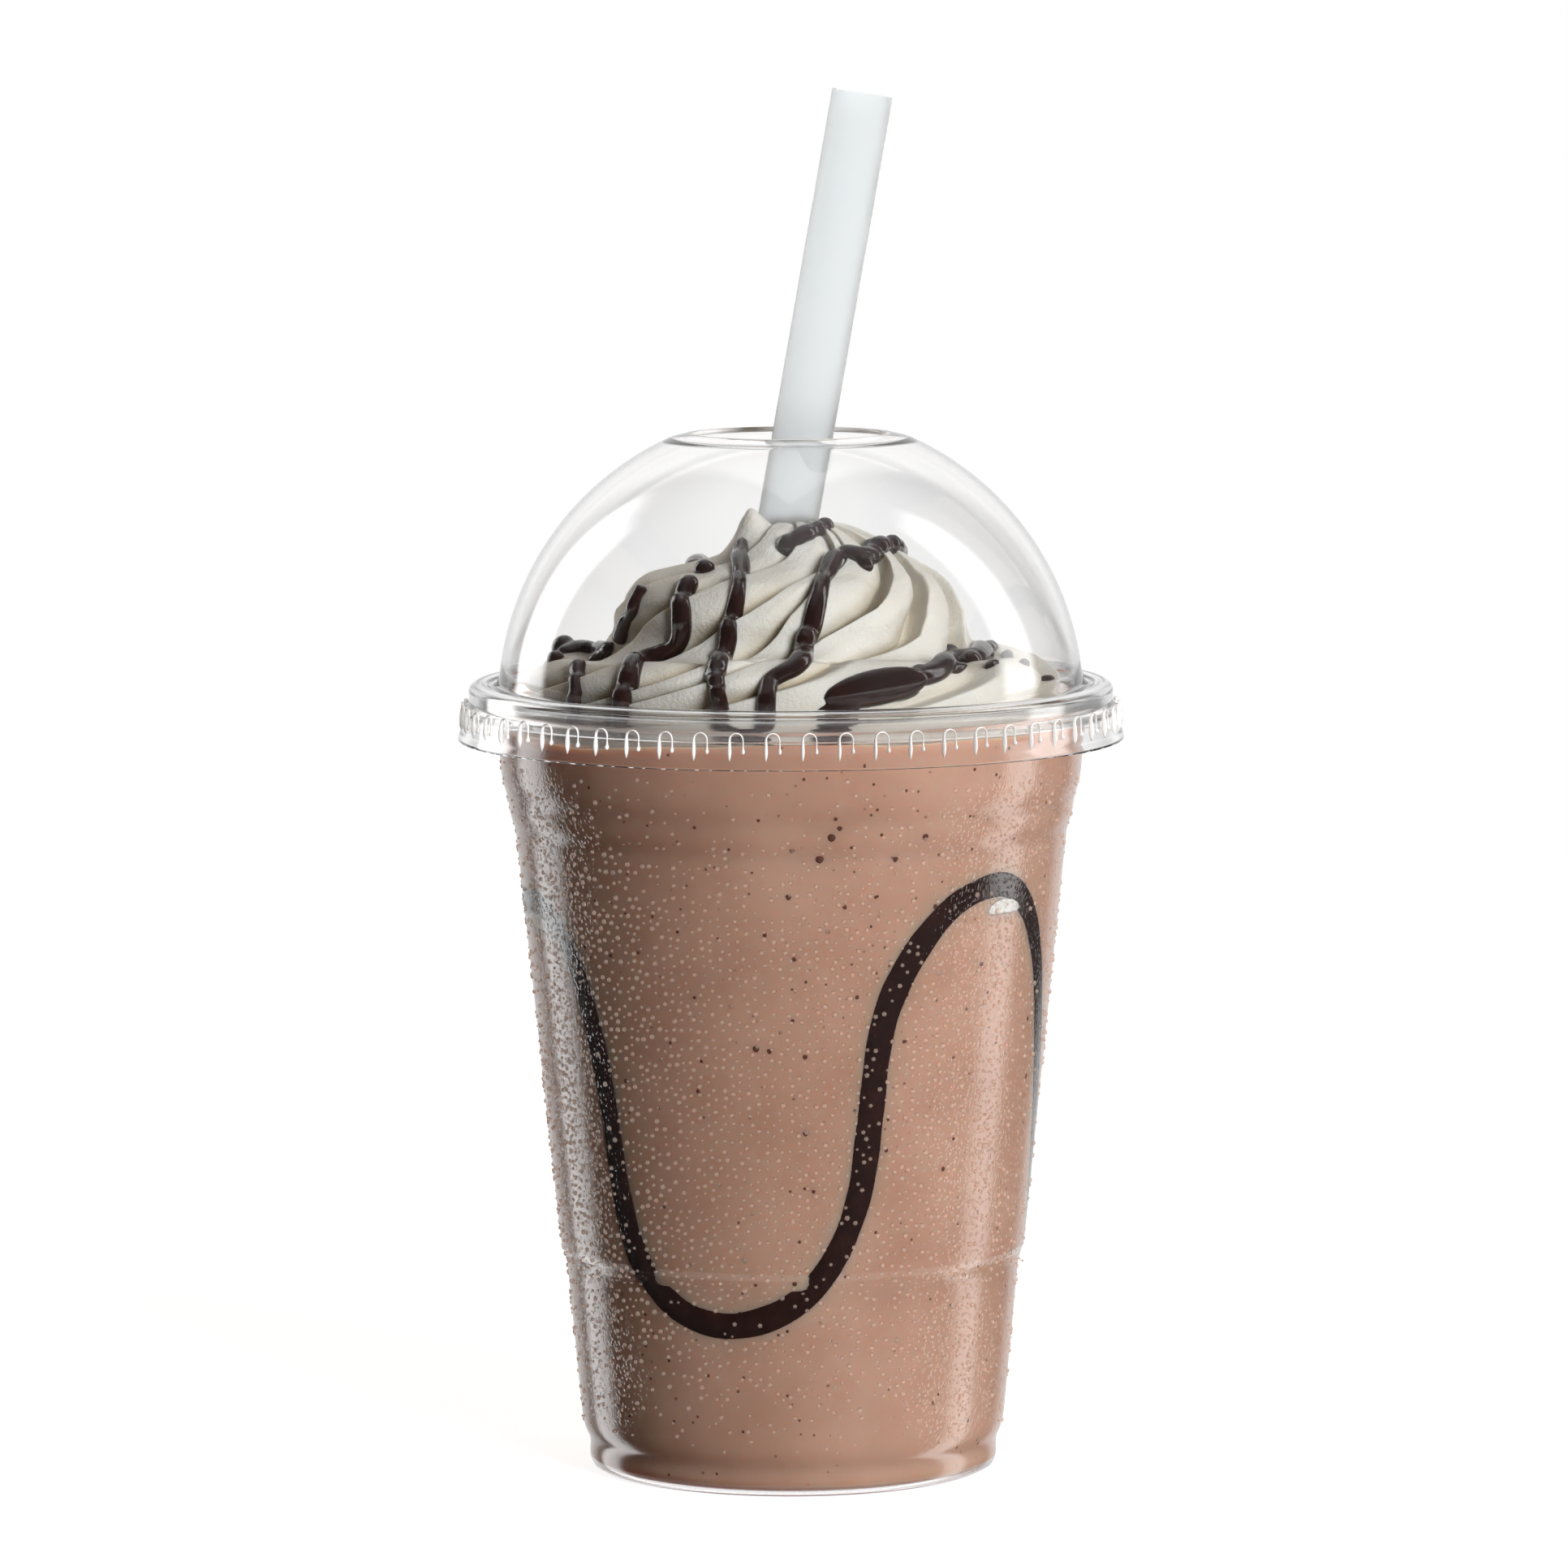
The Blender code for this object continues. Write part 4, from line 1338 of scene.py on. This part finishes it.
@dataclass
class SauceStrands:
    """Strands and pools of sauce over the cream, placed as they are seen.

    A strand has its side, its width and points across and up in the picture. A pool has its place
    in the picture, half its width, height and depth, and its tilt in degrees.
    """

    pitch: float = 6.0
    step: float = 0.7
    voxel: float = 0.3
    tautness: int = 14
    corners: int = 14
    fullness: float = 0.56
    flatness: float = 0.85
    lift: float = 0.12
    overhang: float = 0.4
    far: float = 200.0
    sky: float = 220.0
    strands: tuple[tuple[Side, float, tuple[Pair, ...]], ...] = (
        (Side.FRONT, 2.3, ((-22.1, 135.7), (-23.1, 134.9), (-23.6, 131.6), (-25.1, 128.7), (-26.2, 126.9))),
        (Side.FRONT, 2.9, ((-14.4, 136.6), (-16.1, 135.2), (-16.2, 130.8), (-16.6, 126.6), (-17.6, 125.2),
                           (-19.4, 125.2), (-21.4, 124.9), (-22.9, 124.8), (-23.7, 122.7), (-24.9, 118.1),
                           (-25.6, 112.2))),
        (Side.FRONT, 2.6, ((-7.3, 143.2), (-7.7, 140.7), (-7.4, 139.5), (-7.9, 133.7), (-8.8, 130.9),
                           (-9.2, 126.9), (-10.4, 124.4), (-11.3, 121.6), (-10.7, 119.7), (-9.9, 112.0))),
        (Side.FRONT, 2.8, ((7.1, 140.7), (4.9, 135.8), (3.1, 129.6), (1.5, 123.5), (0.2, 122.2),
                           (-1.6, 122.0), (-2.9, 121.6), (-3.2, 119.7), (-4.2, 112.0))),
        (Side.FRONT, 2.7, ((-1.2, 141.1), (0.7, 142.1), (2.8, 143.7), (5.3, 144.6))),
        (Side.FRONT, 2.8, ((7.1, 140.7), (9.2, 140.0), (11.4, 139.4), (12.9, 140.9), (15.3, 142.2),
                           (16.6, 141.6))),
        (Side.FRONT, 2.3, ((-32.2, 123.9), (-32.1, 118.1), (-32.0, 112.6))),
        (Side.FRONT, 2.4, ((-27.2, 126.0), (-28.6, 126.0), (-31.4, 126.6), (-33.4, 126.4), (-35.6, 125.6))),
        (Side.FRONT, 3.2, ((18.0, 121.0), (21.7, 122.0), (24.2, 124.3), (27.3, 124.0), (29.0, 125.2),
                           (31.0, 126.3))),
        (Side.BACK, 3.1, ((-15.0, 139.4), (-13.0, 131.0), (-12.0, 126.5), (-11.0, 119.0))),
        (Side.BACK, 2.7, ((2.0, 143.6), (4.0, 136.0), (5.5, 127.0), (7.0, 119.0))),
        (Side.BACK, 3.0, ((20.0, 136.0), (23.0, 126.5), (25.0, 119.5))),
    )
    pools: tuple[tuple[float, float, float, float, float, float], ...] = (
        (-9.6, 113.6, 2.0, 1.5, 1.0, 0), (-6.2, 112.6, 2.3, 1.5, 0.9, 0), (6.9, 115.8, 3.4, 1.7, 1.0, 5),
        (6.2, 113.0, 3.2, 1.5, 0.9, 0), (-24.6, 113.6, 2.6, 1.2, 0.9, 0), (-28.4, 114.4, 2.2, 1.0, 0.8, 0),
        (12.7, 119.6, 8.5, 3.0, 1.7, 10), (19.3, 122.1, 1.5, 1.3, 1.5, 0), (24.2, 124.8, 2.0, 2.0, 1.8, 0),
        (27.4, 124.0, 1.9, 1.7, 1.7, 0), (31.0, 126.3, 1.4, 1.4, 1.4, 0), (39.4, 120.6, 1.1, 1.1, 1.3, 0),
        (24.6, 122.6, 2.8, 0.9, 1.0, 12), (28.6, 125.4, 1.7, 1.5, 1.5, 0), (33.4, 125.0, 1.8, 1.0, 1.1, -25),
        (35.6, 123.6, 1.4, 0.8, 0.9, -30), (16.6, 118.6, 3.2, 1.2, 0.9, 12), (30.4, 123.4, 1.9, 0.8, 0.9, 14),
        (-13.1, 138.1, 1.7, 1.7, 1.7, 0), (-19.4, 125.5, 1.3, 1.4, 1.4, 0), (-10.9, 124.5, 1.4, 1.5, 1.4, 0),
        (-11.7, 121.4, 1.5, 1.5, 1.5, 0), (-0.2, 141.6, 2.1, 2.1, 1.8, 0), (5.3, 144.8, 1.5, 1.5, 1.5, 0),
        (12.4, 141.5, 1.5, 1.5, 1.5, 0), (15.6, 142.4, 1.6, 1.6, 1.5, 0), (11.4, 138.8, 1.4, 1.6, 1.3, 0),
        (-29.5, 126.1, 1.4, 1.4, 1.4, 0), (-31.6, 127.0, 1.3, 1.3, 1.3, 0), (-35.2, 126.5, 2.2, 2.2, 2.0, 0),
        (-36.2, 124.6, 1.6, 1.6, 1.5, 0), (-29.9, 124.4, 1.7, 1.3, 1.4, 0),
    )

    def cast(self, tree: BVHTree, side: Side, across: float, up: float) -> Vector | None:
        """Find where a line of sight meets the cream.

        Args:
            tree: Cream's faces in mm.
            side: Side that it is looked at from.
            across: Place to the right in the picture.
            up: Place upward in the picture.

        Returns:
            The place in mm, a little above the outline where the line passes over it, or None.
        """
        pitch = math.radians(self.pitch)
        look = Vector((0.0, side.value * math.cos(pitch), -math.sin(pitch)))
        rise = Vector((0.0, side.value * math.sin(pitch), math.cos(pitch)))
        for lower in (0.0, 0.5, 1.0, 1.5, 2.0, 2.5, 3.0):
            start = Vector((across, 0.0, 0.0)) + rise * (up - lower) - look * self.far
            hit = tree.ray_cast(start, look)[0]
            if hit:
                return hit + rise * (self.overhang * lower)
        return None

    def path(self, tree: BVHTree, side: Side, seen: Sequence[Pair]) -> np.ndarray:
        """Follow the cream along the points that are seen, then pull the path taut over its folds.

        Args:
            tree: Cream's faces in mm.
            side: Side that the strand is looked at from.
            seen: Points across and up in the picture.

        Returns:
            Smooth path on the cream, shaped (steps, 3).
        """
        length = float(np.linalg.norm(np.diff(np.asarray(seen), axis=0), axis=1).sum())
        flat = through(seen, max(4, round(length / self.step)))
        hits = [hit for hit in (self.cast(tree, side, *pair) for pair in flat) if hit]
        points = [hits[0]]
        for hit in hits[1:]:
            last = points[-1]
            pieces = max(1, round((hit - last).length / self.step))
            for k in range(1, pieces):
                level = last.lerp(hit, k / pieces)
                under = tree.ray_cast(Vector((level.x, level.y, self.sky)), Vector((0, 0, -1)))[0]
                points.append(under or level)
            points.append(hit)
        start = np.array([tuple(point) for point in points])
        out = calmed(unit(np.array([tuple(tree.find_nearest(point)[1]) for point in points])), 8)
        path = start.copy()
        for _ in range(self.tautness):
            path[1:-1] = (path[:-2] + 2 * path[1:-1] + path[2:]) / 4
            path -= np.minimum(((path - start) * out).sum(axis=1, keepdims=True), 0.0) * out
        return through(path, max(6, len(path)))

    def strand(self, tree: BVHTree, number: int, side: Side, width: float, seen: Sequence[Pair]) -> Mesh:
        """One rounded strand of uneven width.

        Args:
            tree: Cream's faces in mm.
            number: Number of the strand, which shifts its unevenness.
            side: Side that it is looked at from.
            width: Its width.
            seen: Points across and up in the picture.

        Returns:
            Its mesh.
        """
        path = self.path(tree, side, seen)
        nearest = [tuple(tree.find_nearest(Vector(point))[1]) for point in path]
        along = unit(np.gradient(path, axis=0))
        across = unit(np.cross(along, calmed(unit(np.array(nearest)), 6)))
        rise = unit(np.cross(across, along))
        run = np.linspace(0, 1, len(path))
        uneven = 1.0 + 0.10 * np.sin(run * 9 + number) + 0.07 * np.sin(run * 23 + 2 * number)
        ends = np.sqrt(np.clip(1.0 - (np.abs(run - 0.5) * 2) ** 24, 0.02, 1.0))
        radius = width * self.fullness * uneven * ends
        turn = turns(self.corners)
        circle = np.stack([np.cos(turn), self.flatness * np.sin(turn)], axis=1)
        centres = path + rise * (self.lift * radius)[:, None]
        return mesh_from_grid(swept(centres, across, rise, circle[None] * radius[:, None, None]))

    def pool(self, tree: BVHTree, across: float, up: float, size: Sequence[float]) -> Mesh:
        """One flat pool or drop of sauce.

        Args:
            tree: Cream's faces in mm.
            across: Place to the right in the picture.
            up: Place upward in the picture.
            size: Half its width, height and depth, and its tilt in degrees.

        Returns:
            Its mesh.
        """
        middle = np.array(self.cast(tree, Side.FRONT, across, up))
        out = unit(middle[None] * np.array([1.0, 1.0, 0.0]))[0]
        level = np.array([-out[1], out[0], 0.0])
        tilt = math.radians(size[3])
        side = math.cos(tilt) * level + np.array([0.0, 0.0, math.sin(tilt)])
        rise = np.array([0.0, 0.0, math.cos(tilt)]) - math.sin(tilt) * level
        turn = turns(24)[:, None]
        rows = []
        for polar in np.linspace(0, math.pi, 13):
            ring = np.sin(polar) * (np.cos(turn) * size[0] * side + np.sin(turn) * size[2] * out)
            rows.append(ring + middle + math.cos(polar) * size[1] * rise)
        rows[0][:], rows[-1][:] = rows[0][0], rows[-1][0]
        return mesh_from_grid(np.array(rows))

    def build(self, cream: Object, finish: SauceFinish) -> Object:
        """Make all strands and pools as one soft mesh.

        Args:
            cream: Cream that they lie on.
            finish: Their finish.

        Returns:
            The piece.
        """
        bm = bmesh.new()
        bm.from_mesh(cream.data)
        bmesh.ops.scale(bm, vec=(1 / MM,) * 3, verts=bm.verts)
        tree = BVHTree.FromBMesh(bm)
        bm.free()
        meshes = [self.strand(tree, i, *strand) for i, strand in enumerate(self.strands)]
        meshes += [self.pool(tree, across, up, size) for across, up, *size in self.pools]
        item = make_object("sauce_strands", joined(meshes), finish.build())
        remesh = item.modifiers.new("join", "REMESH")
        remesh.mode = "VOXEL"
        remesh.voxel_size = self.voxel * MM
        soften = item.modifiers.new("soften", "SMOOTH")
        soften.iterations = 6
        soften.factor = 0.5
        apply_modifiers(item)
        item.data.shade_smooth()
        return item


@dataclass
class Dew:
    """Fine drops of water on the outside of the cup, fewer over the wave of sauce."""

    cup: Cup
    wave: SauceWave
    spacing: float = 1.1
    drop: float = 0.4
    corners: int = 5
    scales: Pair = (0.55, 1.2)
    seed: int = 11
    mean_radius: float = 39.0
    band_middle: float = 58.0
    band_reach: float = 44.0
    wave_reach: float = 2.3
    wave_share: float = 0.25

    def weight(self, angle: float, height: float) -> float:
        """How thickly the drops lie.

        Args:
            angle: Angle in degrees.
            height: Height.

        Returns:
            Weight from 0 to about 1.
        """
        middle = math.exp(-((height - self.band_middle) / self.band_reach) ** 6)
        turn = math.radians(angle)
        patches = 0.5 + 0.5 * noise(Vector((math.cos(turn) * 2, math.sin(turn) * 2, height / 22.0)))
        dry = 0.45 * math.exp(-(((angle - 62.0) / 22.0) ** 2))
        dry += 0.6 * math.exp(-(((abs(angle) - 88.0) / 24.0) ** 4))
        return 0.06 + 0.94 * middle * max(0.7 + 0.5 * patches - dry, 0.05)

    def build(self, finish: ClearFinish) -> Object:
        """Scatter the drops with Geometry Nodes.

        Args:
            finish: Finish of the water.

        Returns:
            The piece.
        """
        line = through(self.wave.line, 400)

        def rule(angle: float, height: float) -> float:
            """Weight with the wave's own share near its middle line.

            Args:
                angle: Angle in degrees.
                height: Height.

            Returns:
                Weight from 0 to about 1.
            """
            off = np.radians((line[:, 0] - angle + 180.0) % 360.0 - 180.0) * self.mean_radius
            near = np.hypot(off, line[:, 1] - height).min() < self.wave_reach
            return self.weight(angle, height) * (self.wave_share if near else 1.0)

        turn = turns(self.corners)
        rows = [np.stack(np.broadcast_arrays(r * np.cos(turn), r * np.sin(turn), h), axis=1) * self.drop
                for r, h in ((1.0, -0.2), (0.72, 0.42), (0.0, 0.62))]
        shape = make_object("drop", mesh_from_grid(np.array(rows)))
        patch = self.cup.wall_patch(7.0, 113.0, 0.0)
        weigh(patch, rule)
        recipe = scatter_recipe("dew", shape, self.spacing * MM, self.scales, self.seed, finish.build())
        item = recipe.run("dew_drops", patch)
        bpy.data.objects.remove(shape, do_unlink=True)
        return item


# The studio


@dataclass
class Panel:
    """One soft light that only scatters, aimed at the part. Degrees and metres."""

    name: str
    azimuth: float
    elevation: float
    distance: float
    width: float
    height: float
    power: float
    colour: Colour = WHITE
    aim: Place = (0.0, 0.0, 0.09)

    def build(self) -> None:
        """Hang the light."""
        data = bpy.data.lights.new(self.name, "AREA")
        data.shape = "RECTANGLE"
        data.size, data.size_y = self.width, self.height
        data.energy, data.color = self.power, self.colour
        lamp = bpy.data.objects.new(self.name, data)
        bpy.context.scene.collection.objects.link(lamp)
        around, above = math.radians(self.azimuth), math.radians(self.elevation)
        away = Vector(round_axis(math.cos(above), around, math.sin(above)))
        lamp.location = Vector(self.aim) + away * self.distance
        lamp.rotation_euler = away.to_track_quat("Z", "Y").to_euler()
        lamp.visible_camera = lamp.visible_transmission = lamp.visible_glossy = False


@dataclass(frozen=True)
class Reflection:
    """Bright field of the surroundings that only shiny surfaces show. Degrees; the middle is an azimuth."""

    middle: float
    half_width: float
    softness: float
    top: float
    level: float
    foot: float = -120.0
    top_edge: float = 8.0
    foot_edge: float = 5.0


@dataclass
class Studio:
    """Camera, white surroundings, floor and soft lights. Degrees and metres."""

    camera_place: Place = (-0.0011, -1.4308, 0.25616)
    pitch: float = 5.986
    roll: float = -0.19
    lens: float = 214.2
    white: float = 1.0
    gloss_dark: float = 0.03
    fill_left: float = 0.04
    fill_right: float = 0.13
    fill_back: float = 0.5
    fill_colour: Colour = (1.0, 0.78, 0.58)
    inner_shine: float = 0.6
    ceiling_shine: float = 0.6
    ceiling: Pair = (50.0, 72.0)
    floor_radius: float = 0.85
    floor_drop: float = 0.05
    floor_paint: Colour = (0.4, 0.4, 0.42)
    floor_glow: float = 0.86
    panels: tuple[Panel, ...] = (
        Panel("key", 34.0, 20.0, 1.5, 0.7, 0.7, 30.0),
        Panel("left_rim", -145.0, 6.0, 1.3, 0.5, 0.9, 11.0, (1.0, 0.93, 0.86)),
        Panel("right_strip", 108.0, 10.0, 1.1, 0.3, 0.9, 2.0),
    )
    reflections: tuple[Reflection, ...] = (
        Reflection(180.0, 26.0, 14.0, 90.0, 0.9),
        Reflection(-127.0, 8.0, 6.0, 40.0, 3.9),
        Reflection(104.0, 6.0, 7.0, 55.0, 3.7),
        Reflection(80.0, 40.0, 30.0, 60.0, 0.12),
    )

    def build_camera(self) -> None:
        """Stand the camera where the photograph was taken from."""
        data = bpy.data.cameras.new("camera")
        data.sensor_width, data.lens = 36.0, self.lens
        data.clip_start, data.clip_end = 0.05, 30.0
        camera = bpy.data.objects.new("camera", data)
        bpy.context.scene.collection.objects.link(camera)
        camera.location = self.camera_place
        turn = Euler((math.radians(90.0 - self.pitch), 0.0, 0.0)).to_quaternion()
        camera.rotation_euler = (turn @ Euler((0.0, 0.0, math.radians(self.roll))).to_quaternion()).to_euler()
        bpy.context.scene.camera = camera

    def shine(self, tree: Tree, around: NodeSocket, above: NodeSocket) -> NodeSocket:
        """Brightness of what shiny surfaces show.

        Args:
            tree: Nodes of the surroundings.
            around: Azimuth in degrees.
            above: Elevation in degrees.

        Returns:
            The brightness.
        """
        shine = tree.smooth(above, *self.ceiling, self.gloss_dark, self.ceiling_shine)
        for field in self.reflections:
            turn = tree.maths("WRAP", tree.maths("SUBTRACT", around, field.middle), 180.0, -180.0)
            off = tree.maths("ABSOLUTE", turn)
            side = tree.smooth(off, field.half_width, field.half_width + field.softness, field.level, 0.0)
            below = tree.smooth(above, field.top - field.top_edge, field.top + field.top_edge, 1.0, 0.0)
            over = tree.smooth(above, field.foot - field.foot_edge, field.foot + field.foot_edge)
            inside = tree.times(below, over)
            shine = tree.maths("ADD", tree.times(side, inside), shine)
        return shine

    def build_world(self) -> None:
        """White surroundings, with their own levels for reflections and for scattered light."""
        world = bpy.data.worlds.new("studio")
        world.use_nodes = True
        world.cycles.sampling_method = "NONE"
        bpy.context.scene.world = world
        tree = Tree(world.node_tree)
        east, north, up = tree.axes(tree.node("ShaderNodeTexCoord").outputs["Generated"])
        around = tree.times(tree.maths("ARCTAN2", east, tree.times(north, -1.0)), math.degrees(1.0))
        above = tree.times(tree.maths("ARCSINE", up), math.degrees(1.0))
        fill = tree.maths("ADD", tree.smooth(east, -0.9, 0.9, self.fill_left, self.fill_right),
                          tree.smooth(north, 0.0, 0.7, 0.0, self.fill_back))
        path = tree.node("ShaderNodeLightPath").outputs
        level: object = self.white
        for depth, least, other in (("Glossy Depth", 0.5, self.shine(tree, around, above)),
                                    ("Glossy Depth", 1.5, self.inner_shine), ("Diffuse Depth", 0.5, fill)):
            level = tree.pick(tree.maths("GREATER_THAN", path[depth], least), level, other)
        scattered = tree.maths("GREATER_THAN", path["Diffuse Depth"], 0.5)
        colour = tree.blend(scattered, WHITE, self.fill_colour)
        ground = tree.node("ShaderNodeBackground", {"Color": colour, "Strength": level})
        tree.node("ShaderNodeOutputWorld", {"Surface": ground.outputs[0]})

    def build_floor(self) -> None:
        """Lay a pale round floor."""
        rows = turned([(0.0, -self.floor_drop), (self.floor_radius / MM, -self.floor_drop)], 96)
        shader = Shader("floor")
        paint = shader.node("ShaderNodeBsdfDiffuse", {"Color": (*self.floor_paint, 1.0)}).outputs[0]
        glow = shader.node("ShaderNodeEmission", {"Strength": self.floor_glow}).outputs[0]
        both = shader.node("ShaderNodeAddShader", {0: paint, 1: glow}).outputs[0]
        floor = make_object("floor", mesh_from_grid(rows, caps=False), shader.finish(both))
        floor.visible_diffuse = floor.visible_glossy = False

    def build(self) -> None:
        """Make everything round the part."""
        self.build_world()
        self.build_floor()
        for panel in self.panels:
            panel.build()
        bpy.context.scene.view_settings.view_transform = "Standard"


def main() -> None:
    """Build the pieces in order and put each on the part's body."""
    logging.basicConfig(level=logging.INFO, format="%(message)s")
    studio = Studio()
    studio.build_camera()
    cup, lid, straw = Cup(), DomeLid(), Straw()
    shake, wave = Milkshake(cup), SauceWave(cup)
    clear_cup = ClearFinish("cup_plastic", 1.48, 0.16, dew=0.00005)
    clear_lid = ClearFinish("lid_plastic", 1.50, 0.03)
    # painted glint: the ribs are two thirds matt white, in place of the bright edges their plastic catches
    rib_painted_glint = ClearFinish("rib_plastic", 1.5, 0.1, 0.35)
    # painted light: the hole's edge is half matt white, in place of the light its plastic bends towards the
    # camera
    hole_edge_painted_light = ClearFinish("edge_plastic", 1.5, 0.2, 0.5)
    # painted light: a tenth of each drop is a matt warm surface, in place of the light the drops focus on the
    # shake behind them
    water = ClearFinish("dew_water", 1.33, 0.3, 0.9, (1.0, 0.82, 0.72))
    smear = CreamFinish("cream_smear", (0.84, 0.82, 0.79), (0.8, 0.78, 0.74))
    sauce_behind_wall = SauceFinish("chocolate_wave", 0.5, 0.0)
    finish_piece(cup.build(clear_cup), Slot.CLEAR, "cup")
    finish_piece(lid.build(clear_lid), Slot.CLEAR, "dome_lid")
    finish_piece(lid.build_ribs(rib_painted_glint), Slot.CLEAR, "dome_lid")
    finish_piece(lid.build_hole_edge(hole_edge_painted_light), Slot.CLEAR, "dome_lid")
    finish_piece(straw.build(StrawFinish()), Slot.STRAW, "straw")
    finish_piece(shake.build(ShakeFinish(), straw), Slot.SHAKE, "milkshake")
    finish_piece(shake.build_flakes(FlakeFinish()), Slot.SAUCE)
    finish_piece(shake.build_smears(smear), Slot.CREAM)
    finish_piece(wave.build(sauce_behind_wall), Slot.SAUCE, "sauce_ribbon")
    cream = CreamSwirl().build(CreamFinish(), straw)
    finish_piece(cream, Slot.CREAM, "whipped_cream")
    finish_piece(SauceStrands().build(cream, SauceFinish("chocolate_sauce")), Slot.SAUCE, "whipped_cream")
    finish_piece(Dew(cup, wave).build(water), Slot.CLEAR)
    studio.build()


if __name__ == "__main__":
    main()
